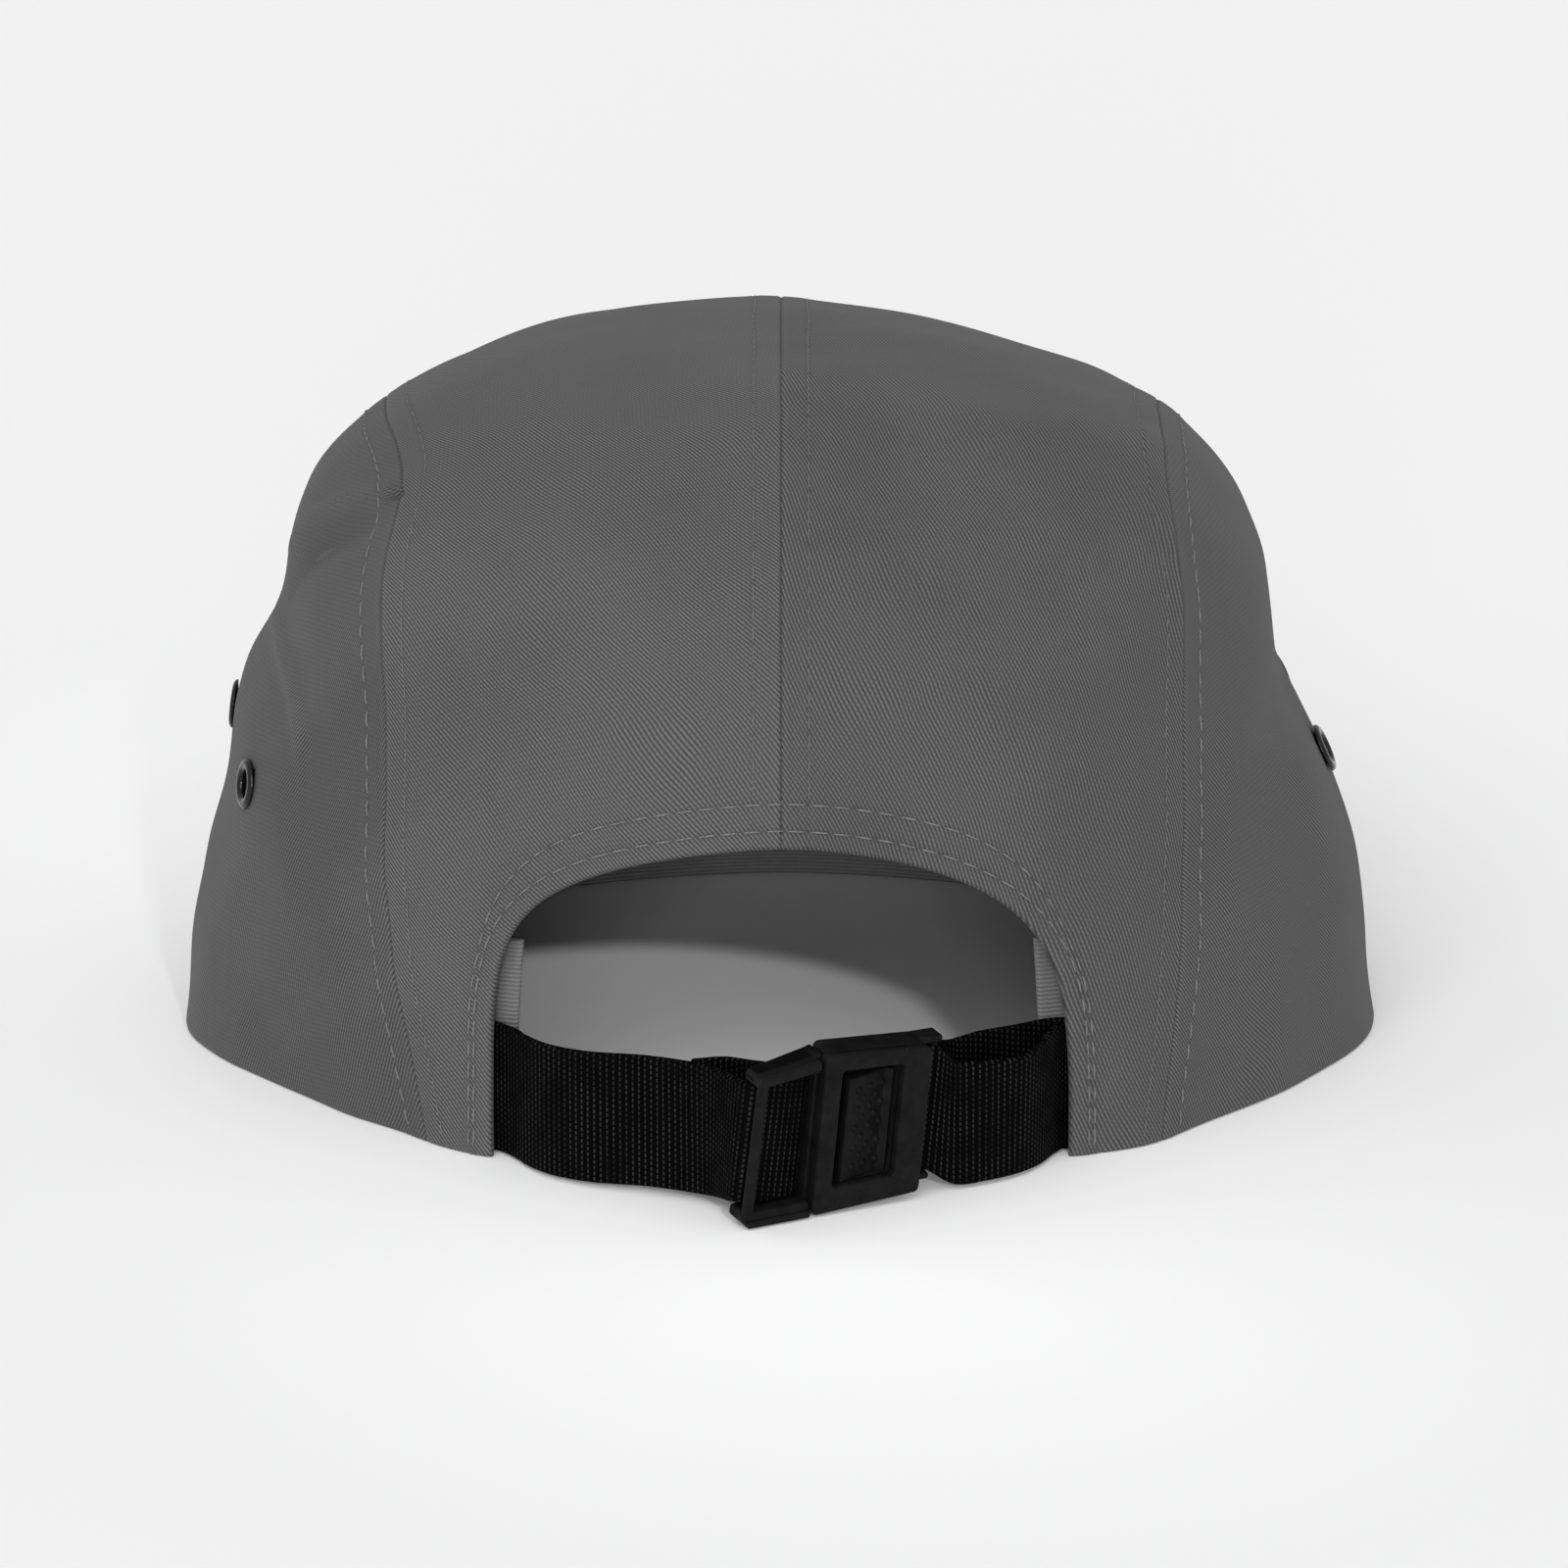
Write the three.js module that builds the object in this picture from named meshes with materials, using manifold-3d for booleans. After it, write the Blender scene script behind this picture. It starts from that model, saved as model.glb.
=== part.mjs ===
// A five panel cap standing on its rim, in millimetres with +Z up.
// The peak points along -Y, the open arch with its strap and buckle lies on the +Y side,
// and +X is the wearer's left.
// The crown is one soft surface, drawn over a round chart: the chart's centre is the top of
// the crown and its edge is the rim. Seams are curves on the chart, and each panel is the
// patch of cloth between its seams.

import * as THREE from 'three';
import { mergeVertices } from 'three/addons/utils/BufferGeometryUtils.js';
import Module from 'manifold-3d';

const wasm = await Module();
wasm.setup();

// Driving dimensions of the crown
const RIM_HALF_WIDTH = 97;
const RIM_REACH_BACK = 91;
const RIM_REACH_FRONT = 92;
const CROWN_HEIGHT = 115.2;
const FOLD_DEPTH = 3;
const CLOTH = 1.5;
const SEAM_GAP = 0.3;
const FIT_GAP = 0.3;

// Driving dimensions of the back arch
const ARCH_HALF_WIDTH = 44;
const ARCH_HEIGHT = 50;

// Driving dimensions of the peak
const PEAK_REACH = 70;
const PEAK_HALF_WIDTH = 86;
const PEAK_THICKNESS = 3.6;
const PEAK_SPREAD = 62;
const PEAK_ROUNDNESS = 2.3;

// Driving dimensions of the sweatband
const BAND_HEIGHT = 33;
const BAND_THICKNESS = 1.2;
const BAND_PAST_EDGE = 2.5;
const BAND_GAP = 0.75;

// Driving dimensions of the straps
const STRAP_WIDTH = 20.4;
const STRAP_THICKNESS = 1.3;
const STRAP_TUCK = 10;

// Driving dimensions of the buckle
const BUCKLE_HEIGHT = 26;
const BUCKLE_DEPTH = 6.6;
const BUCKLE_YAW = 30;
const BUCKLE_LEAN = 10;
const BUCKLE_LIFT = 0.4;
const PLUG_LENGTH = 12.8;
const PLUG_INSET = 0.6;
const PLUG_UPRIGHT = 1.2;
const PLUG_BEND = { reach: 13, along: 0.6, low: 0.5, high: 2.8, thinning: 0.3 };
const OUTER_BAR = { width: 2.1, depth: 2 };
const FOOT_REACH = 0.6;
const FOOT_LENGTH = 12;
const FOOT_HEIGHT = 1.12;
const TONGUE_THICKNESS = 1;
const SOCKET_LENGTH = 17.6;
const SOCKET_TAPER = 1.1;
const BAR_RADIUS = 0.85;
const RAIL = 1.8;
const EAR = 1.1;
const SHELL_WALL = 1.8;
const FACE_STEP = 0.4;
const LIP = { reach: 0.75, depth: 2.2 };
const WINDOW = { strapEnd: -12.9, plugEnd: -2.3, bottom: 4, top: 23.4 };
const PAD = { strapEnd: -12.5, plugEnd: -4.1, bottom: 4.3, top: 21.2, high: -0.6, low: -3 };

// Driving dimensions of the eyelets
const EYELET_RADIUS = 4;
const EYELET_BARREL = 2.6;
const EYELET_BORE = 2.1;
const EYELET_RISE = 0.7;
const EYELET_HOLE_LENGTH = 9;
const EYELET_INSIDE_GAP = 0.9;

// The crown's rings, from its top to its rim. Share is the place on the chart, side, back and
// front are shares of the rim's half width and reaches, the heights are shares of the crown's
// height, and squareness is the exponent of the ring's rounded outline.
const REACH_COLUMNS = ['side', 'back', 'front'];
const HEIGHT_COLUMNS = ['sideHeight', 'backHeight', 'frontHeight'];
const RING_COLUMNS = ['share', ...REACH_COLUMNS, ...HEIGHT_COLUMNS, 'squareness'];
const RINGS = [
  [0.00, 0.000, 0.000, 0.000, 1.000, 1.000, 1.000, 2.00],
  [0.20, 0.370, 0.360, 0.370, 0.975, 0.965, 0.975, 2.00],
  [0.32, 0.580, 0.560, 0.590, 0.910, 0.900, 0.930, 2.10],
  [0.42, 0.705, 0.715, 0.740, 0.825, 0.810, 0.860, 2.20],
  [0.52, 0.785, 0.835, 0.850, 0.710, 0.695, 0.750, 2.20],
  [0.63, 0.840, 0.915, 0.910, 0.555, 0.560, 0.600, 2.10],
  [0.80, 0.945, 0.980, 0.965, 0.300, 0.305, 0.320, 1.95],
  [1.00, 1.000, 1.000, 1.000, 0.000, 0.000, 0.000, 1.78],
].map((row) => Object.fromEntries(row.map((value, i) => [RING_COLUMNS[i], value])));

// The cloth's soft dents and swells. Azimuth and share place each one on the chart, around and
// down are its spreads there, and out is a share of the fold depth, below zero for a dent.
const FOLDS = [
  { name: 'left shoulder swell', azimuth: 0, share: 0.47, around: 0.50, down: 0.075, out: 0.85 },
  { name: 'left side swell', azimuth: 0, share: 0.66, around: 0.40, down: 0.060, out: 1.05 },
  { name: 'left rim pinch', azimuth: 28, share: 0.97, around: 0.24, down: 0.160, out: -0.70 },
  { name: 'right top dent', azimuth: 194, share: 0.27, around: 0.30, down: 0.150, out: -1.35 },
  { name: 'right side dent', azimuth: 180, share: 0.655, around: 0.45, down: 0.070, out: -0.65 },
  { name: 'right rim pinch', azimuth: 157, share: 0.98, around: 0.14, down: 0.120, out: -0.30 },
  { name: 'left arch foot flare', azimuth: 58, share: 1.00, around: 0.12, down: 0.160, out: 0.95 },
  { name: 'right arch foot flare', azimuth: 126, share: 1.00, around: 0.15, down: 0.160, out: 1.40 },
];

// Where the folds stop pushing up and start pushing outward, as chart shares
const FOLD_TURN = { start: 0.20, end: 0.55 };

// The seams, as azimuths in degrees and shares on the chart. Azimuth 90 is straight back, and a
// right hand seam is drawn as its mirror image.
const SHOULDER_SEAM = {
  left: [
    { azimuth: -56, share: 0.540 },
    { azimuth: -30, share: 0.425 },
    { azimuth: 0, share: 0.370 },
    { azimuth: 21.8, share: 0.383 },
    { azimuth: 31.5, share: 0.420 },
    { azimuth: 38.5, share: 0.500 },
    { azimuth: 44.0, share: 0.620 },
    { azimuth: 47.2, share: 0.750 },
    { azimuth: 50.1, share: 0.883 },
    { azimuth: 53.3, share: 1.000 },
  ],
  right: [
    { azimuth: -56, share: 0.540 },
    { azimuth: -30, share: 0.420 },
    { azimuth: 0, share: 0.360 },
    { azimuth: 17.0, share: 0.378 },
    { azimuth: 28.5, share: 0.427 },
    { azimuth: 36.2, share: 0.505 },
    { azimuth: 41.5, share: 0.620 },
    { azimuth: 45.6, share: 0.750 },
    { azimuth: 48.8, share: 0.883 },
    { azimuth: 51.2, share: 1.000 },
  ],
};
const FRONT_TOP_SEAM = [
  { azimuth: -90, share: 0.42 },
  { azimuth: -72, share: 0.45 },
  { azimuth: -56, share: 0.54 },
];
const FRONT_SIDE_SEAM = [
  { azimuth: -56, share: 0.54 },
  { azimuth: -53, share: 0.75 },
  { azimuth: -51, share: 1.00 },
];

// The share of the shoulder seam at which the side panel's top corner lies
const SIDE_CORNER = 0.62;

// The arch's outline is a rounded one with its own exponents on either side
const ARCH_SIDES = {
  left: { across: 1.6, up: 6.2 },
  right: { across: 1.8, up: 4.4 },
};

// The eyelets, two in each side panel
const EYELETS = [
  { name: 'eyelet_left_front', side: 1, azimuth: -1.5, share: 0.704 },
  { name: 'eyelet_left_rear', side: 1, azimuth: 20.5, share: 0.733 },
  { name: 'eyelet_right_front', side: -1, azimuth: -16, share: 0.704 },
  { name: 'eyelet_right_rear', side: -1, azimuth: 6, share: 0.731 },
];

// The free stretches of the straps, from the arch's edge to the buckle. Across is a share of the
// arch's half width, out a share of the rim's reach at the back, lift a share of the strap's
// width, and lean is how far the strap's top tips outward, in degrees.
const STRAP_LEFT_ROUTE = [
  { across: 0.977, out: 0.858, lift: 0.015, lean: 0 },
  { across: 0.925, out: 0.892, lift: 0.018, lean: 0 },
  { across: 0.866, out: 0.950, lift: 0.022, lean: 0 },
  { across: 0.791, out: 1.003, lift: 0.030, lean: 0 },
  { across: 0.655, out: 1.055, lift: 0.044, lean: 0 },
  { across: 0.445, out: 1.100, lift: 0.069, lean: 0 },
  { across: 0.241, out: 1.165, lift: 0.090, lean: 2 },
];
const STRAP_RIGHT_ROUTE = [
  { across: -0.980, out: 0.846, lift: 0.015, lean: 0 },
  { across: -0.935, out: 0.882, lift: 0.018, lean: 2 },
  { across: -0.885, out: 0.940, lift: 0.022, lean: 10 },
  { across: -0.815, out: 0.992, lift: 0.030, lean: 15 },
  { across: -0.705, out: 1.038, lift: 0.035, lean: 12 },
  { across: -0.590, out: 1.068, lift: 0.045, lean: 9 },
];
const STRAP_RETURN_ROUTE = [
  { across: -0.570, out: 0.982, lift: 0.050, lean: 2 },
  { across: -0.680, out: 0.930, lift: 0.040, lean: 0 },
  { across: -0.805, out: 0.885, lift: 0.030, lean: 0 },
  { across: -0.930, out: 0.836, lift: 0.020, lean: 0 },
];
const STRAP_TAIL_ROUTE = [
  { across: 0.105, out: 1.140, lift: 0.095, lean: 1 },
  { across: 0.190, out: 1.106, lift: 0.070, lean: 0 },
  { across: 0.300, out: 1.080, lift: 0.020, lean: 0 },
];

// Grid sizes of the faceted solids. Panels that share a seam share its points too.
const SIDE_STEPS = 14;
const DOWN_STEPS = 12;
const HALF_TOP_STEPS = 10;
const BAND_STEPS = 60;
const PEAK_STEPS = 36;
const ROUTE_STEPS = 3;
const ROUND_SIDES = 12;
const EYELET_SIDES = 14;
const ARCH_STEPS = 28;

// Materials
const twill = new THREE.MeshStandardMaterial({ color: 0x5c5c5c, roughness: 0.95, metalness: 0 });
const webbing = new THREE.MeshStandardMaterial({ color: 0x161616, roughness: 0.8, metalness: 0 });
const plastic = new THREE.MeshStandardMaterial({ color: 0x1b1b1b, roughness: 0.5, metalness: 0 });
const blackMetal = new THREE.MeshStandardMaterial({ color: 0x101010, roughness: 0.3, metalness: 0.6 });

function radians(degrees) {
  return THREE.MathUtils.degToRad(degrees);
}

// The rings' columns at a chart share, by a smooth curve through the table's rows. The table is
// mirrored through the top of the crown, so the surface is smooth there too. At a row the
// slopes before and after are each weighed by the width of the other's step.
function mirroredRing(ring) {
  const mirror = { ...ring, share: -ring.share };
  for (const column of REACH_COLUMNS) {
    mirror[column] = -ring[column];
  }
  return mirror;
}

const RING_ROWS = [mirroredRing(RINGS[2]), mirroredRing(RINGS[1]), ...RINGS];

function slopeAt(rows, column, i) {
  const stepFrom = (j) => {
    const width = rows[j + 1].share - rows[j].share;
    return { width, slope: (rows[j + 1][column] - rows[j][column]) / width };
  };
  const before = stepFrom(Math.max(i - 1, 0));
  const after = stepFrom(Math.min(i, rows.length - 2));
  return (before.slope * after.width + after.slope * before.width) / (before.width + after.width);
}

function ringAt(share) {
  let i = 0;
  while (i < RING_ROWS.length - 2 && share >= RING_ROWS[i + 1].share) {
    i += 1;
  }
  const low = RING_ROWS[i];
  const high = RING_ROWS[i + 1];
  const width = high.share - low.share;
  const s = (share - low.share) / width;
  const ring = {};
  for (const column of RING_COLUMNS) {
    const start = low[column] * (1 + 2 * s) * (1 - s) ** 2;
    const end = high[column] * s * s * (3 - 2 * s);
    const leaving = slopeAt(RING_ROWS, column, i) * width * s * (1 - s) ** 2;
    const arriving = slopeAt(RING_ROWS, column, i + 1) * width * s * s * (s - 1);
    ring[column] = start + end + leaving + arriving;
  }
  return ring;
}

function polar(azimuth, share) {
  const angle = radians(azimuth);
  return new THREE.Vector2(share * Math.cos(angle), share * Math.sin(angle));
}

// How far the folds push the cloth at a chart point
function foldsAt(chart) {
  let push = 0;
  for (const fold of FOLDS) {
    const away = chart.clone().sub(polar(fold.azimuth, fold.share));
    const outward = away.dot(polar(fold.azimuth, 1));
    const sideways = away.dot(polar(fold.azimuth + 90, 1));
    const fade = Math.exp(-((sideways / fold.around) ** 2) - (outward / fold.down) ** 2);
    push += FOLD_DEPTH * fold.out * fade;
  }
  return push;
}

// The crown's outer surface at a chart point. At the very top the reaches are held just above
// zero.
const TINY = 1e-6;

function crown(chart) {
  const share = chart.length();
  const angle = Math.atan2(chart.y, chart.x);
  const across = Math.cos(angle);
  const along = Math.sin(angle);
  const ring = ringAt(share);
  const side = Math.max(ring.side * RIM_HALF_WIDTH, TINY);
  const end = along >= 0 ? ring.back * RIM_REACH_BACK : ring.front * RIM_REACH_FRONT;
  const reach = Math.max(end, TINY);
  const n = ring.squareness;
  const sum = (Math.abs(across) / side) ** n + (Math.abs(along) / reach) ** n;
  const endHeight = along >= 0 ? ring.backHeight : ring.frontHeight;
  const push = foldsAt(chart);
  const outward = THREE.MathUtils.smoothstep(share, FOLD_TURN.start, FOLD_TURN.end);
  const radius = sum ** (-1 / n) + push * outward;
  const height = CROWN_HEIGHT * (ring.sideHeight * across ** 2 + endHeight * along ** 2);
  return new THREE.Vector3(radius * across, radius * along, height + push * (1 - outward));
}

const NORMAL_STEP = 1e-3;

function crownNormal(chart) {
  const step = (x, y) => crown(new THREE.Vector2(chart.x + x, chart.y + y));
  const overX = step(NORMAL_STEP, 0).sub(step(-NORMAL_STEP, 0));
  const overY = step(0, NORMAL_STEP).sub(step(0, -NORMAL_STEP));
  return overX.cross(overY).normalize();
}

// The place between low and high at which a condition that holds at low stops holding
const HALVINGS = 30;

function lastPlace(low, high, holds) {
  let [from, to] = [low, high];
  for (let i = 0; i < HALVINGS; i += 1) {
    const middle = (from + to) / 2;
    if (holds(middle)) {
      from = middle;
    } else {
      to = middle;
    }
  }
  return to;
}

// The chart point on the lower half of the crown's wall, at an azimuth and a height
function chartAtHeight(azimuth, height) {
  return polar(azimuth, lastPlace(0.5, 1, (share) => crown(polar(azimuth, share)).z > height));
}

// Closed solids from two facing grids of points, with walls along their four edges
function shell(front, back) {
  const rows = front.length;
  const columns = front[0].length;
  const points = [...front.flat(), ...back.flat()];
  const offset = rows * columns;
  const triangles = [];
  const quad = (a, b, c, d) => triangles.push(a, b, c, a, c, d);
  const at = (i, j) => i * columns + j;
  for (let i = 0; i < rows - 1; i += 1) {
    for (let j = 0; j < columns - 1; j += 1) {
      quad(at(i, j), at(i + 1, j), at(i + 1, j + 1), at(i, j + 1));
      const opposite = offset + at(i, j);
      quad(opposite, opposite + 1, opposite + columns + 1, opposite + columns);
    }
  }
  for (let i = 0; i < rows - 1; i += 1) {
    const last = columns - 1;
    quad(at(i, 0), offset + at(i, 0), offset + at(i + 1, 0), at(i + 1, 0));
    quad(at(i, last), at(i + 1, last), offset + at(i + 1, last), offset + at(i, last));
  }
  for (let j = 0; j < columns - 1; j += 1) {
    const last = rows - 1;
    quad(at(0, j), at(0, j + 1), offset + at(0, j + 1), offset + at(0, j));
    quad(at(last, j), offset + at(last, j), offset + at(last, j + 1), at(last, j + 1));
  }
  if (signedVolume(points, triangles) < 0) {
    triangles.reverse();
  }
  const geometry = new THREE.BufferGeometry().setFromPoints(points);
  geometry.setIndex(triangles);
  return geometry;
}

function signedVolume(points, triangles) {
  let volume = 0;
  const cross = new THREE.Vector3();
  for (let i = 0; i < triangles.length; i += 3) {
    const [a, b, c] = [points[triangles[i]], points[triangles[i + 1]], points[triangles[i + 2]]];
    volume += a.dot(cross.crossVectors(b, c));
  }
  return volume;
}

// Joining and cutting of closed geometries
function toSolid(geometry) {
  const bare = geometry.clone();
  for (const name of Object.keys(bare.attributes)) {
    if (name !== 'position') {
      bare.deleteAttribute(name);
    }
  }
  const merged = mergeVertices(bare, 1e-4);
  const solidMesh = new wasm.Mesh({
    numProp: 3,
    vertProperties: new Float32Array(merged.attributes.position.array),
    triVerts: new Uint32Array(merged.index.array),
  });
  return new wasm.Manifold(solidMesh);
}

function toGeometry(solid) {
  const { vertProperties, triVerts } = solid.getMesh();
  const geometry = new THREE.BufferGeometry();
  geometry.setAttribute('position', new THREE.BufferAttribute(new Float32Array(vertProperties), 3));
  geometry.setIndex(new THREE.BufferAttribute(new Uint32Array(triVerts), 1));
  return geometry;
}

function joined(geometries) {
  return geometries.map(toSolid).reduce((whole, next) => whole.add(next));
}

function cut(solid, geometries) {
  return geometries.map(toSolid).reduce((whole, next) => whole.subtract(next), solid);
}

function box(low, high) {
  const size = high.map((value, i) => value - low[i]);
  const middle = high.map((value, i) => (value + low[i]) / 2);
  return new THREE.BoxGeometry(...size).translate(...middle);
}

function uprightBar(x, y, bottom, top, radius) {
  const bar = new THREE.CylinderGeometry(radius, radius, top - bottom, ROUND_SIDES);
  return bar.rotateX(Math.PI / 2).translate(x, y, (top + bottom) / 2);
}

// Seams as curves on the chart
function seamCurve(rows, side = 1) {
  const points = rows.map((row) => {
    const point = polar(row.azimuth, row.share);
    return new THREE.Vector2(point.x * side, point.y);
  });
  return new THREE.SplineCurve(points);
}

function rimCurve(startAzimuth, endAzimuth, side) {
  return (u) => {
    const point = polar(THREE.MathUtils.lerp(startAzimuth, endAzimuth, u), 1);
    return new THREE.Vector2(point.x * side, point.y);
  };
}

// The patch between four curves on the chart: top and rim run along u, start and end along v
function patch({ top, rim, start, end }) {
  const corners = { a: top(0), b: top(1), c: rim(0), d: rim(1) };
  return (u, v) => {
    const point = new THREE.Vector2();
    point.addScaledVector(top(u), 1 - v).addScaledVector(rim(u), v);
    point.addScaledVector(start(v), 1 - u).addScaledVector(end(v), u);
    point.addScaledVector(corners.a, -(1 - u) * (1 - v)).addScaledVector(corners.b, -u * (1 - v));
    point.addScaledVector(corners.c, -(1 - u) * v).addScaledVector(corners.d, -u * v);
    return point;
  };
}

const lastOf = (rows) => rows[rows.length - 1];

function sidePatch(side) {
  const rows = side > 0 ? SHOULDER_SEAM.left : SHOULDER_SEAM.right;
  const shoulder = seamCurve(rows, side);
  const front = seamCurve(FRONT_SIDE_SEAM, side);
  return patch({
    top: (u) => shoulder.getPointAt(u * SIDE_CORNER),
    rim: rimCurve(lastOf(FRONT_SIDE_SEAM).azimuth, lastOf(rows).azimuth, side),
    start: (v) => front.getPointAt(v),
    end: (v) => shoulder.getPointAt(SIDE_CORNER + v * (1 - SIDE_CORNER)),
  });
}

function backPatch(side) {
  const rows = side > 0 ? SHOULDER_SEAM.left : SHOULDER_SEAM.right;
  const shoulder = seamCurve(rows, side);
  const frontTop = seamCurve(FRONT_TOP_SEAM, side);
  const centreTop = polar(FRONT_TOP_SEAM[0].azimuth, FRONT_TOP_SEAM[0].share);
  const centreRim = polar(90, 1);
  const cornerAt = SIDE_STEPS / (SIDE_STEPS + DOWN_STEPS);
  const seamShare = (v) => (v < cornerAt
    ? (v / cornerAt) * SIDE_CORNER
    : SIDE_CORNER + ((v - cornerAt) / (1 - cornerAt)) * (1 - SIDE_CORNER));
  return patch({
    top: (u) => frontTop.getPointAt(u),
    rim: rimCurve(90, lastOf(rows).azimuth, side),
    start: (v) => centreTop.clone().lerp(centreRim, v),
    end: (v) => shoulder.getPointAt(seamShare(v)),
  });
}

function frontPatch() {
  const top = { left: seamCurve(FRONT_TOP_SEAM, 1), right: seamCurve(FRONT_TOP_SEAM, -1) };
  const edge = { left: seamCurve(FRONT_SIDE_SEAM, 1), right: seamCurve(FRONT_SIDE_SEAM, -1) };
  const leftEnd = lastOf(FRONT_SIDE_SEAM).azimuth;
  return patch({
    top: (u) => (u < 0.5 ? top.right.getPointAt(1 - 2 * u) : top.left.getPointAt(2 * u - 1)),
    rim: rimCurve(-180 - leftEnd, leftEnd, 1),
    start: (v) => edge.right.getPointAt(v),
    end: (v) => edge.left.getPointAt(v),
  });
}

// The unit step across the cloth, square to an edge, towards a point inside it
function stepInside(point, along, inside) {
  const step = inside.clone().sub(point);
  const edge = along.clone().normalize();
  return step.addScaledVector(edge, -step.dot(edge)).normalize();
}

// Moves the top and side edges of a grid of points inward by half a seam gap. At a corner the
// two edges' steps are added, and divided by what they have in common. The rim stays.
function insetEdges(grid) {
  const rows = grid.length - 1;
  const columns = grid[0].length - 1;
  const clamp = THREE.MathUtils.clamp;
  const at = (i, j) => grid[clamp(i, 0, rows)][clamp(j, 0, columns)];
  return grid.map((line, i) => line.map((point, j) => {
    const steps = [];
    const inside = at(clamp(i, 1, rows - 1), clamp(j, 1, columns - 1));
    if (i === 0) {
      steps.push(stepInside(point, at(i, j + 1).clone().sub(at(i, j - 1)), inside));
    }
    if (j === 0 || j === columns) {
      steps.push(stepInside(point, at(i + 1, j).clone().sub(at(i - 1, j)), inside));
    }
    const move = steps.reduce((sum, step) => sum.add(step), new THREE.Vector3());
    const spread = steps.length === 2 ? 1 + steps[0].dot(steps[1]) : 1;
    return point.clone().addScaledVector(move, SEAM_GAP / 2 / spread);
  }));
}

// One panel of cloth: its patch laid on the crown, with the wall's thickness inward
function panelGeometry(chartPatch, columns, rows) {
  const charts = [];
  for (let i = 0; i <= rows; i += 1) {
    charts.push([]);
    for (let j = 0; j <= columns; j += 1) {
      charts[i].push(chartPatch(j / columns, i / rows));
    }
  }
  const outer = insetEdges(charts.map((line) => line.map(crown)));
  for (const point of outer.flat()) {
    point.z = Math.max(point.z, 0);
  }
  const inner = outer.map((line, i) => line.map((point, j) => {
    const inward = point.clone().addScaledVector(crownNormal(charts[i][j]), -CLOTH);
    inward.z = Math.max(inward.z, 0);
    return inward;
  }));
  return shell(outer, inner);
}

// The block that cuts the arch out of the two back panels
function archCutter() {
  const outline = [];
  for (let i = 0; i <= ARCH_STEPS; i += 1) {
    const angle = (Math.PI * i) / ARCH_STEPS;
    const sides = Math.cos(angle) >= 0 ? ARCH_SIDES.left : ARCH_SIDES.right;
    const across = Math.sign(Math.cos(angle)) * Math.abs(Math.cos(angle)) ** (2 / sides.across);
    const up = Math.sin(angle) ** (2 / sides.up);
    outline.push(new THREE.Vector2(ARCH_HALF_WIDTH * across, ARCH_HEIGHT * up));
  }
  for (const across of [-ARCH_HALF_WIDTH, ARCH_HALF_WIDTH]) {
    outline.push(new THREE.Vector2(across, -CLOTH));
  }
  const block = new THREE.ExtrudeGeometry(new THREE.Shape(outline), {
    depth: RIM_REACH_BACK,
    bevelEnabled: false,
  });
  return block.rotateX(Math.PI / 2).translate(0, RIM_REACH_BACK * 1.5, 0);
}

// Eyelets: a place on the crown, the hole through the cloth and the metal ring
function eyeletPlace(eyelet) {
  const chart = polar(eyelet.azimuth, eyelet.share);
  chart.x *= eyelet.side;
  const lathed = new THREE.Vector3(0, 1, 0);
  const turn = new THREE.Quaternion().setFromUnitVectors(lathed, crownNormal(chart));
  return { position: crown(chart), turn };
}

function eyeletHole(eyelet) {
  const { position, turn } = eyeletPlace(eyelet);
  const radius = EYELET_BARREL + FIT_GAP;
  const hole = new THREE.CylinderGeometry(radius, radius, EYELET_HOLE_LENGTH, EYELET_SIDES);
  return hole.applyQuaternion(turn).translate(position.x, position.y, position.z);
}

function eyeletGeometry() {
  const outside = FIT_GAP;
  const inside = -CLOTH - EYELET_INSIDE_GAP;
  const profile = [
    [EYELET_BORE, inside - EYELET_RISE],
    [EYELET_RADIUS, inside - EYELET_RISE],
    [EYELET_RADIUS, inside],
    [EYELET_BARREL, inside],
    [EYELET_BARREL, outside],
    [EYELET_RADIUS, outside],
    [EYELET_RADIUS, outside + EYELET_RISE / 2],
    [(EYELET_RADIUS + EYELET_BORE) / 2, outside + EYELET_RISE],
    [EYELET_BORE, outside + EYELET_RISE / 2],
    [EYELET_BORE, inside - EYELET_RISE],
  ];
  const points = profile.map(([radius, rise]) => new THREE.Vector2(radius, rise));
  return new THREE.LatheGeometry(points, EYELET_SIDES);
}

function eyeletMesh(eyelet) {
  const mesh = new THREE.Mesh(eyeletGeometry(), blackMetal);
  const { position, turn } = eyeletPlace(eyelet);
  mesh.name = eyelet.name;
  mesh.position.copy(position);
  mesh.quaternion.copy(turn);
  return mesh;
}

// The peak: a flat stiff sheet whose inner edge follows the rim
function peakGeometry() {
  const top = [];
  const bottom = [];
  const hinge = crown(polar(-90 + PEAK_SPREAD, 1)).y;
  const depth = PEAK_REACH + RIM_REACH_FRONT + hinge;
  for (let i = 0; i <= PEAK_STEPS; i += 1) {
    const turn = THREE.MathUtils.lerp(-PEAK_SPREAD, PEAK_SPREAD, i / PEAK_STEPS);
    const inner = crown(polar(-90 + turn, 1));
    const outward = crownNormal(polar(-90 + turn, 1)).setZ(0).normalize();
    inner.addScaledVector(outward, FIT_GAP);
    const angle = (Math.PI * i) / PEAK_STEPS;
    const across = -Math.sign(Math.cos(angle)) * Math.abs(Math.cos(angle)) ** (2 / PEAK_ROUNDNESS);
    const forward = Math.sin(angle) ** (2 / PEAK_ROUNDNESS);
    const outer = new THREE.Vector3(PEAK_HALF_WIDTH * across, hinge - depth * forward, 0);
    top.push([inner.clone().setZ(PEAK_THICKNESS), outer.clone().setZ(PEAK_THICKNESS)]);
    bottom.push([inner.clone().setZ(0), outer]);
  }
  return shell(top, bottom);
}

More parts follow.
